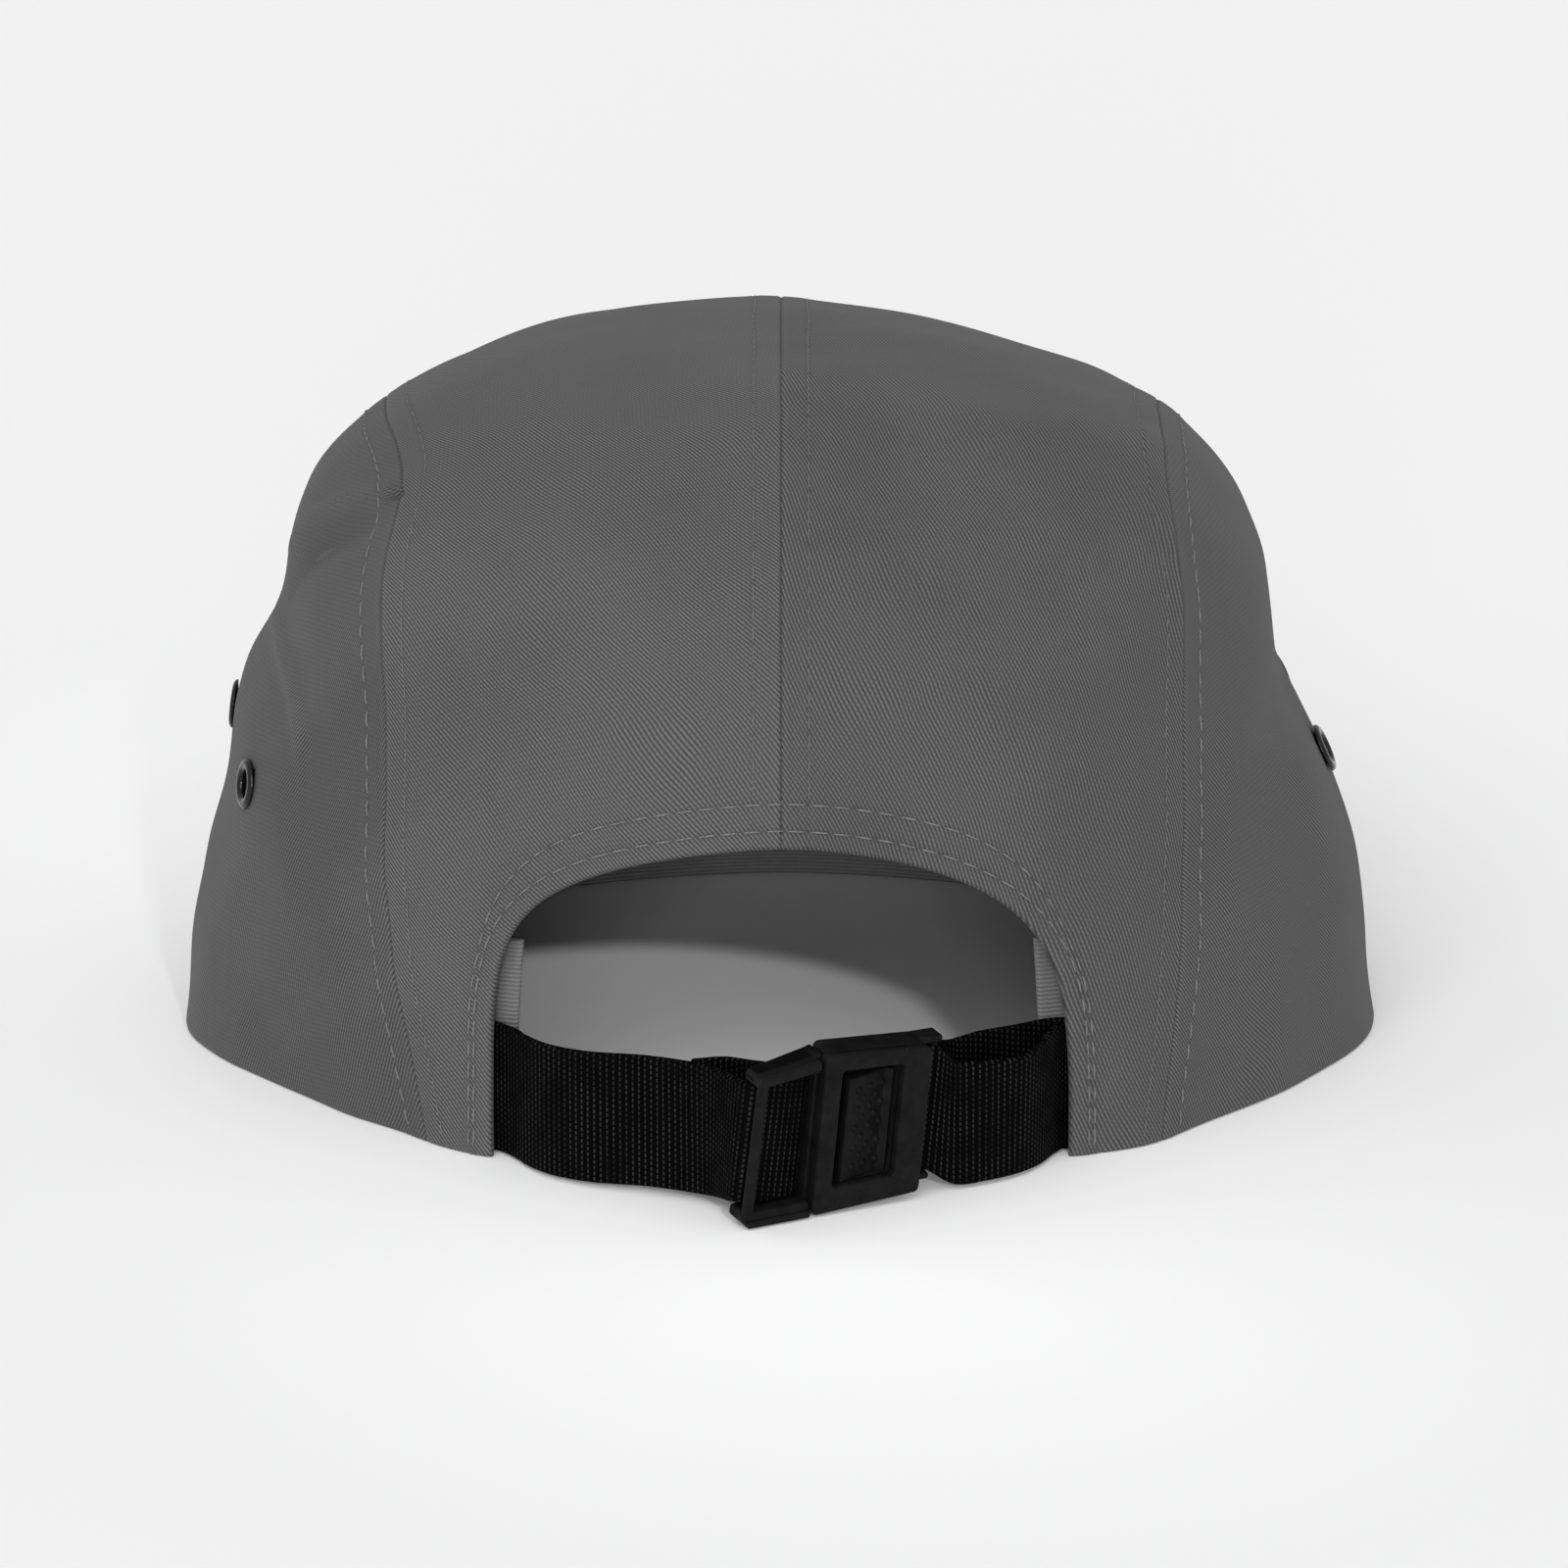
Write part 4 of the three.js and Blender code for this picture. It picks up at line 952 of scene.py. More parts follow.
def sweatband(material):
    """The band inside the rim: it hugs the wall, opens up at its ends for the tucked straps, and
    has low ribs along it and rounded long edges."""
    start = azimuth_across(ARCH_HALF_WIDTH - BAND_PAST_EDGE)
    end = -180 - start
    left = TUCK_DEPTH + STRAP_THICKNESS / 2 + 3 * FIT_GAP
    right = left + LAYER_PITCH
    azimuth = start + (end - start) * graded(BAND_LENGTH, (0, BAND_LENGTH), 1.6, 0.3, 2.0)
    up = graded(BAND_HEIGHT, (0, BAND_HEIGHT), 0.7, 0.2, 0.8)
    height = FIT_GAP + (BAND_HEIGHT - FIT_GAP) * up
    near_left = smoothstep(azimuth, start - 2 * BAND_SPREAD, start - BAND_SPREAD)
    near_right = 1 - smoothstep(azimuth, end + BAND_SPREAD, end + 2 * BAND_SPREAD)
    depth = BAND_DEPTH + (left - BAND_DEPTH) * near_left + (right - BAND_DEPTH) * near_right
    aa, hh = np.meshgrid(azimuth, height, indexing="ij")
    face = inside_wall(aa, hh, np.broadcast_to(depth[:, None], aa.shape))
    deep = inside_wall(aa, hh, np.broadcast_to(depth[:, None] + BAND_THICKNESS, aa.shape))
    roll = BAND_THICKNESS / 2
    length = path_lengths(face)
    edge = np.minimum(np.minimum(hh - height[0], height[-1] - hh),
                      np.minimum(length, length[-1] - length))
    fall = (edge_drop(edge, roll) * 0.9)[..., None]
    inward = unit(deep - face)
    points, faces, used = shell(face + inward * fall, deep - inward * fall)
    uv = np.concatenate([np.stack([hh, length], axis=-1).reshape(-1, 2)] * 2)[used]
    return make_piece("sweatband", points, faces, material, "band_cloth", ["sweatband"], uv)


# Peak

def peak_edges(count):
    """The peak's inner edge on the rim and its outer edge, a rounded outline."""
    share = np.linspace(0, 1, count)
    turn = -PEAK_SPREAD + 2 * PEAK_SPREAD * share
    hinge = crown(polar(-90.0 + PEAK_SPREAD, 1.0))[1]
    chart = polar(-90 + turn, 1.0)
    outward = unit(crown_normal(chart) * (1, 1, 0))
    inner = crown(chart) + outward * FIT_GAP
    angle = np.pi * share
    across = -np.sign(np.cos(angle)) * np.abs(np.cos(angle)) ** (2 / PEAK_ROUNDNESS)
    forward = np.sin(angle) ** (2 / PEAK_ROUNDNESS)
    depth = PEAK_REACH + RIM_REACH_FRONT + hinge
    outer = np.stack([PEAK_HALF_WIDTH * across, hinge - depth * forward, 0 * across], axis=-1)
    return inner, outer


PEAK_ROWS = (4.0, 11.0, 18.0, 25.0, 32.0, 39.0)
PEAK_COLUMNS = 340
PEAK_ROW_SAMPLES = 420
PEAK_ROW_DIP = 0.22
PEAK_ROW_DIP_WIDTH = 0.6
PEAK_THREAD_LOW = 0.14


def peak(material):
    """The stiff peak between its two cloth faces: straight lines from the rim to the outer edge,
    a rounded edge, and a shallow dip along each stitch row."""
    inner, outer = peak_edges(PEAK_COLUMNS)
    span = np.linalg.norm(outer - inner, axis=-1)
    places = graded(PEAK_REACH, (0, PEAK_REACH), 0.55, 0.2, 2.0)
    flat = inner[:, None] + (outer - inner)[:, None] * places[None, :, None]
    from_edge = span[:, None] * (1 - places[None, :])
    dip = np.zeros(from_edge.shape)
    for row in PEAK_ROWS:
        dip += PEAK_ROW_DIP * np.exp(-((from_edge - row) / PEAK_ROW_DIP_WIDTH) ** 2)
    roll = PEAK_THICKNESS / 2 - 0.1
    fall = np.minimum(edge_drop(from_edge, roll) + dip, PEAK_THICKNESS / 2 - 0.06)
    top, bottom = flat.copy(), flat.copy()
    top[..., 2] = PEAK_THICKNESS - fall
    bottom[..., 2] = fall
    points, faces, used = shell(top, bottom)
    slant = np.array([[0.7, 0.7], [-0.7, 0.7]])
    uv = np.concatenate([flat[..., :2].reshape(-1, 2)] * 2)[used] @ slant
    return make_piece("peak", points, faces, material, "twill", ["peak"], uv,
                      {"painted_shading": np.zeros(len(points))})


# Straps

FRONT_LAYER = -(OUTER_BAR_DEPTH + FIT_GAP + STRAP_THICKNESS / 2)
TURN_RADIUS = BAR_RADIUS + FIT_GAP + STRAP_THICKNESS / 2
TURN_REACH = TURN_RADIUS + STRAP_THICKNESS / 2
BAR_DEPTH = FRONT_LAYER - TURN_RADIUS
PLUG_BAR_X = PLUG_UPRIGHT + FIT_GAP + TURN_REACH
SOCKET_BAR_X = -(SOCKET_LENGTH + FIT_GAP + TURN_REACH)
STRAP_FOOT = (BUCKLE_HEIGHT - STRAP_WIDTH) / 2

BUCKLE_FRAME = (
    Matrix.Translation((BUCKLE_PLACE[0] * ARCH_HALF_WIDTH, BUCKLE_PLACE[1] * RIM_REACH_BACK,
                        BUCKLE_LIFT))
    @ Matrix.Rotation(math.radians(BUCKLE_YAW), 4, "Z")
    @ Matrix.Rotation(math.radians(-BUCKLE_LEAN), 4, "X")
)
BUCKLE_TURN = np.array(BUCKLE_FRAME)[:3, :3]
BUCKLE_CORNER = np.array(BUCKLE_FRAME)[:3, 3]


def from_buckle(points):
    """Points of the buckle's own frame in the crown's frame."""
    return np.asarray(points, float) @ BUCKLE_TURN.T + BUCKLE_CORNER


def bend_plug(points):
    """The plug bends outward from the socket, more at its top than at its foot, and thins out."""
    x, y, z = np.moveaxis(np.asarray(points, float), -1, 0)
    along = np.maximum(x, 0) / PLUG_BEND_REACH
    up = z / BUCKLE_HEIGHT
    outward = PLUG_BEND_LOW + (PLUG_BEND_HIGH - PLUG_BEND_LOW) * up
    return np.stack([x + PLUG_BEND_ALONG * along * up,
                     y * (1 - PLUG_BEND_THINNING * along) + outward * along, z], axis=-1)


def buckle_station(x, y):
    """A station of the webbing inside the buckle: its lower and upper edge."""
    return from_buckle(bend_plug([(x, y, STRAP_FOOT), (x, y, STRAP_FOOT + STRAP_WIDTH)]))


def free_station(row):
    """A station between the arch's edge and the buckle, from its row of shares."""
    across, out, lift, lean = row
    foot = np.array([across * ARCH_HALF_WIDTH, out * RIM_REACH_BACK, lift * STRAP_WIDTH])
    tip = math.radians(lean)
    return np.array([foot, foot + np.array([0, math.sin(tip), math.cos(tip)]) * STRAP_WIDTH])


def tuck_station(side, past, depth):
    """A station between the panel and the sweatband."""
    azimuth = azimuth_across(ARCH_HALF_WIDTH + past)
    azimuth = azimuth if side > 0 else 180 - azimuth
    heights = np.array([FIT_GAP, FIT_GAP + STRAP_WIDTH])
    points = inside_wall(azimuth, heights, np.full(2, depth))
    points[:, 2] = heights
    return points


def tuck_stations(side, depth):
    """The tucked end, from its deepest station outward."""
    return [tuck_station(side, share * STRAP_TUCK, depth) for share in (1, 0.6, 0.2)]


def turn_stations(bar, towards):
    """The half turn round a bar, from the front layer to the back layer."""
    angles = np.linspace(0, np.pi, 5)
    return [buckle_station(bar + towards * TURN_RADIUS * math.sin(a),
                           BAR_DEPTH + TURN_RADIUS * math.cos(a)) for a in angles]


def strap_curve(points, t):
    """A smooth curve through stations that lie unevenly apart: cubic spans whose end slopes
    weigh the neighbours by the square roots of the gaps."""
    points = np.asarray(points, float)
    ends = np.vstack([2 * points[0] - points[1], points, 2 * points[-1] - points[-2]])
    gaps = np.maximum(np.linalg.norm(np.diff(ends, axis=0), axis=1) ** 0.5, 1e-4)
    place = np.clip(t, 0, 1) * (len(points) - 1)
    i = np.minimum(place.astype(int), len(points) - 2)
    s = (place - i)[:, None]
    x0, x1, x2, x3 = ends[i], ends[i + 1], ends[i + 2], ends[i + 3]
    d0, d1, d2 = gaps[i][:, None], gaps[i + 1][:, None], gaps[i + 2][:, None]
    leaving = ((x1 - x0) / d0 - (x2 - x0) / (d0 + d1) + (x2 - x1) / d1) * d1
    arriving = ((x2 - x1) / d1 - (x3 - x1) / (d1 + d2) + (x3 - x2) / d2) * d1
    return (x1 + leaving * s + (3 * x2 - 3 * x1 - 2 * leaving - arriving) * s ** 2
            + (2 * x1 - 2 * x2 + leaving + arriving) * s ** 3)


WEB_RIB = 1.05
WEB_STEP = 0.21
TACK_PLACE = 18.5


def strap(name, stations, material, tack=None):
    """The webbing along its stations: even thickness, rounded selvedges, and a low rib for each
    row of its weave. A tack is a stitched stretch that presses the ribs flat."""
    stations = np.array(stations)
    t = np.linspace(0, 1, 4000)
    middle = strap_curve(stations.mean(axis=1), t)
    lengths = path_lengths(middle)
    steps = int(lengths[-1] / WEB_STEP)
    place = np.linspace(0, lengths[-1], steps)
    t = np.interp(place, lengths, t)
    feet, tops = strap_curve(stations[:, 0], t), strap_curve(stations[:, 1], t)
    up = unit(tops - feet)
    foot_face = unit(np.cross(np.gradient(feet, axis=0), up))
    top_face = unit(np.cross(np.gradient(tops, axis=0), up))
    across = graded(STRAP_WIDTH, (0, STRAP_WIDTH), 0.7, 0.2, 0.8)
    w = across[None, :, None]
    body = feet[:, None] * (1 - w) + tops[:, None] * w
    face = unit(foot_face[:, None] * (1 - w) + top_face[:, None] * w)
    edge = STRAP_WIDTH * np.minimum(across, 1 - across)[None, :] * np.ones((steps, 1))
    rib = 0.5 + 0.5 * np.cos(2 * np.pi * place / WEB_RIB)
    height = 0.13 * (rib[:, None] - 1) * smoothstep(edge, 0.2, 1.2)
    if tack:
        pressed = np.exp(-((place - tack) / 0.9) ** 4)[:, None]
        height = height * (1 - pressed) - 0.12 * pressed
    half = STRAP_THICKNESS / 2
    fall = edge_drop(edge, half) * 0.92
    front = body + face * (half + height - fall)[..., None]
    back = body - face * (half + height - fall)[..., None]
    points, faces, used = shell(front, back)
    flat = np.stack(np.broadcast_arrays(place[:, None], across[None] * STRAP_WIDTH), axis=-1)
    uv = np.concatenate([flat.reshape(-1, 2)] * 2)[used]
    return make_piece(name, points, faces, material, "webbing", [name], uv)


def strap_left_stations():
    """The left strap: out of the tuck, behind the plug's outer bar, round its inner bar and back
    as a short tail."""
    return [
        *tuck_stations(1, TUCK_DEPTH),
        *map(free_station, STRAP_LEFT_ROUTE),
        buckle_station(PLUG_LENGTH - OUTER_BAR_WIDTH / 2, BAR_DEPTH),
        buckle_station(PLUG_LENGTH - 2 * OUTER_BAR_WIDTH, FRONT_LAYER - FIT_GAP),
        *turn_stations(PLUG_BAR_X, -1),
        *map(free_station, STRAP_TAIL_ROUTE),
    ]


def strap_right_stations():
    """The right strap: out of the tuck, round the socket's bar and back into the tuck."""
    return [
        *tuck_stations(-1, TUCK_DEPTH),
        *map(free_station, STRAP_RIGHT_ROUTE),
        *turn_stations(SOCKET_BAR_X, 1),
        *map(free_station, STRAP_RETURN_ROUTE),
        *tuck_stations(-1, TUCK_DEPTH + LAYER_PITCH)[::-1],
    ]


# Buckle

def rounded_box(low, high, radius, steps=3, spans=1):
    """A box with rounded edges: each point of the box's grid is pulled to an inner box, one
    radius in from the walls, and pushed out again by the radius along the same line."""
    low, high = np.array(low, float), np.array(high, float)
    radius = min(radius, 0.49 * float((high - low).min()))
    rim = radius * np.tan(np.linspace(0, np.pi / 4, steps + 1))
    middle = np.linspace(0, 1, spans + 1)[1:-1, None]
    inner_low, inner_high = low + radius, high - radius
    between = inner_low * (1 - middle) + inner_high * middle
    marks = [np.concatenate([inner_low[k] - rim[::-1], between[:, k], inner_high[k] + rim])
             for k in range(3)]
    count = 2 * (steps + 1) + spans - 1
    points, faces = [], []
    for axis in range(3):
        first, second = (axis + 1) % 3, (axis + 2) % 3
        a, b = np.meshgrid(marks[first], marks[second], indexing="ij")
        for wall, value in enumerate((low[axis], high[axis])):
            face = np.empty((count, count, 3))
            face[..., axis], face[..., first], face[..., second] = value, a, b
            quads = grid_faces(count, count) + len(points) * count * count
            faces.append(quads if wall else quads[:, ::-1])
            points.append(face.reshape(-1, 3))
    points = np.concatenate(points)
    _, kept, merged = np.unique(np.round(points, 6), axis=0, return_index=True, return_inverse=True)
    faces = merged.ravel()[np.concatenate(faces)]
    points = points[kept]
    inner = np.clip(points, low + radius, high - radius)
    points = inner + radius * unit(points - inner)
    return points, facing_out(points, [faces])


def rounded_loop(x, z, radius, steps=6, edge_steps=8):
    """The outline of a rectangle with rounded corners: a quarter circle at each corner and even
    steps between them."""
    centres = ((x[1] - radius, z[1] - radius), (x[0] + radius, z[1] - radius),
               (x[0] + radius, z[0] + radius), (x[1] - radius, z[0] + radius))
    loop = []
    for k, centre in enumerate(centres):
        angle = np.pi / 2 * (k + np.linspace(0, 1, steps + 1))
        arc = np.stack([centre[0] + radius * np.cos(angle), centre[1] + radius * np.sin(angle)], -1)
        following = np.array(centres[(k + 1) % 4])
        turn = np.pi / 2 * (k + 1)
        start = following + radius * np.array([math.cos(turn), math.sin(turn)])
        mix = np.linspace(0, 1, edge_steps + 1)[1:-1, None]
        loop += [arc, arc[-1] * (1 - mix) + start * mix]
    return np.concatenate(loop)


def window_plate(x, z, hole_x, hole_z, front, back, bevel, corner, hole_corner, steps=4):
    """A plate with a window: its section is walked from the outer wall over the front to the
    window's wall and round the back, and each of its four edges is a quarter circle."""
    turn = np.linspace(0, np.pi / 2, steps + 1)
    inset, rise = bevel * (1 - np.cos(turn)), bevel * np.sin(turn)

    def outside(amount):
        return rounded_loop((x[0] + amount, x[1] - amount), (z[0] + amount, z[1] - amount),
                            max(corner - amount, 0.05))

    def inside(amount):
        return rounded_loop((hole_x[0] - amount, hole_x[1] + amount),
                            (hole_z[0] - amount, hole_z[1] + amount), hole_corner + amount)

    walk = (
        (outside, inset[::-1], back + bevel - rise[::-1]),
        (outside, inset, front - bevel + rise),
        (inside, inset[::-1], front - bevel + rise[::-1]),
        (inside, inset, back + bevel - rise),
    )
    grid = np.array([np.insert(outline(amount), 1, height, axis=1)
                     for outline, amounts, heights in walk
                     for amount, height in zip(amounts, heights)])
    points = grid.reshape(-1, 3)
    return points, facing_out(points, [grid_faces(grid.shape[0], grid.shape[1], True, True)])


def tapered(part):
    """The socket narrows towards its strap end: heights are pulled to the middle in step with
    the distance from the plug."""
    points, faces = part
    middle = BUCKLE_HEIGHT / 2
    share = np.clip(-points[:, 0] / SOCKET_LENGTH, 0, 1)
    points = points.copy()
    points[:, 2] = middle + (points[:, 2] - middle) * (1 - SOCKET_TAPER / middle * share)
    return points, faces


PAD_COLUMNS = ((-10.9, 5), (-9.7, 4), (-8.5, 5), (-7.3, 4), (-6.1, 5))
PAD_DOT_PITCH = 3.15
PAD_DOT_RADIUS = 0.52
PAD_DOT_RISE = 0.5


def press_pad():
    """The pad that is pressed to open the buckle: it lies deeper towards the strap end, where it
    curls up into a lip, and carries columns of small domes, every other column half a pitch off."""
    x = np.linspace(PAD_X[0], PAD_X[1], 110)
    z = np.linspace(PAD_Z[0], PAD_Z[1], 200)
    xx, zz = np.meshgrid(x, z, indexing="ij")
    share = (xx - x[0]) / (x[-1] - x[0])
    top = PAD_Y[0] + (PAD_Y[1] - PAD_Y[0]) * share
    top += 1.1 * (1 - smoothstep(xx, x[0] + 0.1, x[0] + 1.3))
    edge = np.minimum(np.minimum(zz - z[0], z[-1] - zz), np.minimum(xx - x[0], x[-1] - xx))
    top -= edge_drop(edge, 0.3)
    middle = (z[0] + z[-1]) / 2
    for place, count in PAD_COLUMNS:
        for row in range(count):
            height = middle + PAD_DOT_PITCH * (row - (count - 1) / 2)
            away = np.hypot(xx - place, zz - height) / PAD_DOT_RADIUS
            top += PAD_DOT_RISE * np.sqrt(np.maximum(1 - away ** 2, 0))
    outer = np.stack([xx, top, zz], axis=-1)
    inner = outer.copy()
    inner[..., 1] = -BUCKLE_DEPTH + SHELL_WALL + 0.5
    points, faces, _ = shell(outer, inner)
    return points, faces


def plug_parts():
    """The plug: rails above and below, a half round outer bar, an upright, the foot flange, the
    inner bar, the tongue and its pad, all bent as one."""
    back, low, top = FACE_STEP - BUCKLE_DEPTH, PLUG_INSET, BUCKLE_HEIGHT - PLUG_INSET
    front = FACE_STEP - 2.5
    parts = []
    for foot, head in ((top - RAIL, top), (low, low + RAIL)):
        parts += [rounded_box((0.0, back, foot), (PLUG_LENGTH, front, head), 0.5, 4, 6),
                  rounded_box((PLUG_UPRIGHT, back, foot), (PLUG_LENGTH, 0, head), 0.6, 4, 6)]
    parts += [
        rounded_box((0, back, low), (PLUG_UPRIGHT, front, top), 0.35, 3, 6),
        rounded_box((PLUG_LENGTH - OUTER_BAR_WIDTH, -OUTER_BAR_DEPTH, low + 0.4),
                    (PLUG_LENGTH - 0.15, -0.25, top - 0.4), 0.85, 5, 8),
        rounded_box((PLUG_UPRIGHT, back - FOOT_REACH, 0.02), (FOOT_LENGTH, FOOT_REACH, FOOT_HEIGHT),
                    0.35, 3, 6),
        rounded_box((PLUG_BAR_X - BAR_RADIUS, BAR_DEPTH - BAR_RADIUS, RAIL / 2),
                    (PLUG_BAR_X + BAR_RADIUS, BAR_DEPTH + BAR_RADIUS, top - RAIL / 2), 0.8, 4, 6),
        rounded_box((3.5 - SOCKET_LENGTH, back + SHELL_WALL + 0.2, 4.0),
                    (PLUG_UPRIGHT, back + SHELL_WALL + 1.2, top - 3.4), 0.4),
        press_pad(),
    ]
    return [(bend_plug(points), faces) for points, faces in parts]


def socket_parts():
    """The socket: a deep window plate that tapers to its strap end, its back wall, and the ears
    and bar that the right strap turns round."""
    back, top = FACE_STEP - BUCKLE_DEPTH, BUCKLE_HEIGHT
    end = SOCKET_BAR_X - BAR_RADIUS
    ear_top = top - SOCKET_TAPER
    pips = [rounded_box((x - 0.3, 0.1, z - 0.3), (x + 0.3, FACE_STEP + 0.12, z + 0.3), 0.2)
            for x, z in ((WINDOW_X[0] + 0.1, WINDOW_Z[1] + 1.9), (WINDOW_X[0] + 0.3, 3.1))]
    return [
        tapered(window_plate((-SOCKET_LENGTH, LIP_REACH), (0.0, top), WINDOW_X, WINDOW_Z,
                             FACE_STEP, FACE_STEP - 2.2, 0.5, 1.0, 0.7)),
        tapered(window_plate((-SOCKET_LENGTH, -FIT_GAP), (0.0, top), WINDOW_X, WINDOW_Z,
                             -0.4, back, 0.5, 1.0, 0.7)),
        tapered(rounded_box((1 - SOCKET_LENGTH, back + 0.1, 1),
                            (-1, back + SHELL_WALL - 0.2, top - 1), 0.3)),
        rounded_box((end, back, SOCKET_TAPER), (1 - SOCKET_LENGTH, FRONT_LAYER, SOCKET_TAPER + EAR),
                    0.4),
        rounded_box((end, back, ear_top - EAR), (1 - SOCKET_LENGTH, FRONT_LAYER, ear_top), 0.4),
        rounded_box((SOCKET_BAR_X - BAR_RADIUS, BAR_DEPTH - BAR_RADIUS, SOCKET_TAPER + EAR / 2),
                    (SOCKET_BAR_X + BAR_RADIUS, BAR_DEPTH + BAR_RADIUS, ear_top - EAR / 2), 0.8),
        *pips,
    ]


# Stitches

def beside(chart, distance):
    """Chart points a given way to the left of a chart line, measured on the crown: the step
    square to the line in space is solved for in the chart's two slopes."""
    over_x, over_y = crown_slopes(chart)
    forward = np.gradient(chart, axis=0)
    run = unit(over_x * forward[:, :1] + over_y * forward[:, 1:])
    aside = np.cross(unit(np.cross(over_x, over_y)), run) * np.asarray(distance).reshape(-1, 1)
    xx = (over_x * over_x).sum(1)
    xy = (over_x * over_y).sum(1)
    yy = (over_y * over_y).sum(1)
    px, py = (aside * over_x).sum(1), (aside * over_y).sum(1)
    det = xx * yy - xy ** 2
    return chart + np.stack([(px * yy - py * xy) / det, (py * xx - px * xy) / det], axis=-1)


STITCH_SIDES = 6
STITCH_RINGS = 5
PROUD_THREAD = 0.16
SUNK_THREAD = 0.075


def stitches(line, normal, radius=0.13, pitch=STITCH_PITCH, gap=0.4, sink=0.12):
    """Stitches along a line: each is a thin rod with domed ends that follows the line, stands
    a little proud in its middle and dips into the cloth at its ends."""
    lengths = path_lengths(line)
    count = int(lengths[-1] / pitch)
    starts = (np.arange(count) + 0.5) * lengths[-1] / count - (pitch - gap) / 2
    t = np.linspace(0, 1, STITCH_RINGS + 2)
    place = starts[:, None] + t[None] * (pitch - gap)

    def at(values):
        return np.stack([np.interp(place, lengths, values[:, k]) for k in range(3)], axis=-1)

    centre, up = at(line), unit(at(normal))
    run = unit(np.gradient(centre, axis=1))
    side = unit(np.cross(up, run))
    bow = np.maximum(np.sin(np.pi * t), 0) ** 0.35
    centre = centre + up * (radius * 0.55 * bow - sink * (1 - bow))[None, :, None]
    thick = radius * bow
    angle = np.linspace(0, 2 * np.pi, STITCH_SIDES, endpoint=False)
    ring = (side[:, 1:-1, None] * np.cos(angle)[:, None]
            + up[:, 1:-1, None] * np.sin(angle)[:, None] * 0.85)
    rings = centre[:, 1:-1, None] + ring * thick[None, 1:-1, None, None]
    points = np.concatenate([centre[:, :1], rings.reshape(count, -1, 3), centre[:, -1:]], axis=1)
    body = grid_faces(STITCH_RINGS, STITCH_SIDES, wrap_columns=True) + 1
    around = np.arange(STITCH_SIDES)
    following = (around + 1) % STITCH_SIDES
    last = 1 + STITCH_RINGS * STITCH_SIDES
    first_fan = np.stack([np.zeros_like(around), 1 + around, 1 + following], axis=-1)
    last_fan = np.stack([np.full_like(around, last), last - STITCH_SIDES + following,
                         last - STITCH_SIDES + around], axis=-1)
    size = last + 1
    shift = (np.arange(count) * size)[:, None, None]
    faces = [(body[None] + shift).reshape(-1, 4),
             (np.concatenate([first_fan, last_fan])[None] + shift).reshape(-1, 3)]
    points = points.reshape(-1, 3)
    return points, facing_out(points, faces)


def crown_row(chart):
    """A chart line laid on the dressed crown, with its normals."""
    base, normal = crown(chart), crown_normal(chart)
    height, _, drop = relief(base)
    return base + normal * (height - drop + 0.05)[:, None], normal


def row_radius(name, distance):
    """The thread looks thick on a side panel's row and thin on the others, where it is drawn
    into the cloth."""
    on_side = (name, distance > 0) in (("shoulder_left", False), ("shoulder_right", True))
    return PROUD_THREAD if on_side else SUNK_THREAD


def seam_rows():
    """The stitch rows on both sides of every seam, stopped short of the hem and the rim."""
    parts = []
    for name, chart in SEAM_CHARTS.items():
        for distance in (SEAM_ROW, -SEAM_ROW):
            row = beside(chart, np.full(len(chart), distance))
            base = crown(row)
            hem, place = nearest(base, ARCH_LINE)
            fine = (base[:, 2] > 1.0) & (hem > hem_width(place) + 0.5)
            fine &= nearest_seam(base)[0] > SEAM_ROW - 0.5
            parts.append(stitches(*crown_row(row[fine]), row_radius(name, distance)))
    return parts


def hem_rows():
    """The two stitch rows that follow the arch."""
    chart = arch_chart()[::6]
    place = nearest(crown(chart), ARCH_LINE)[1]
    parts = []
    for distance in (np.full(len(chart), HEM_ROW), hem_width(place)):
        row = beside(chart, distance)
        row = row[crown(row)[:, 2] > 1.2]
        parts.append(stitches(*crown_row(row), PROUD_THREAD))
    return parts


def peak_rows():
    """The stitch rows on the peak's upper face, each at a given distance from the outer edge."""
    inner, outer = peak_edges(PEAK_ROW_SAMPLES)
    span = np.linalg.norm(outer - inner, axis=-1)
    parts = []
    for row in PEAK_ROWS:
        long_enough = span > row + 4
        share = 1 - row / span[long_enough]
        line = inner[long_enough] + (outer - inner)[long_enough] * share[:, None]
        line[:, 2] = PEAK_THICKNESS - PEAK_THREAD_LOW
        normal = np.broadcast_to((0.0, 0.0, 1.0), line.shape)
        parts.append(stitches(line, normal, sink=0.1))
    return parts


# Materials

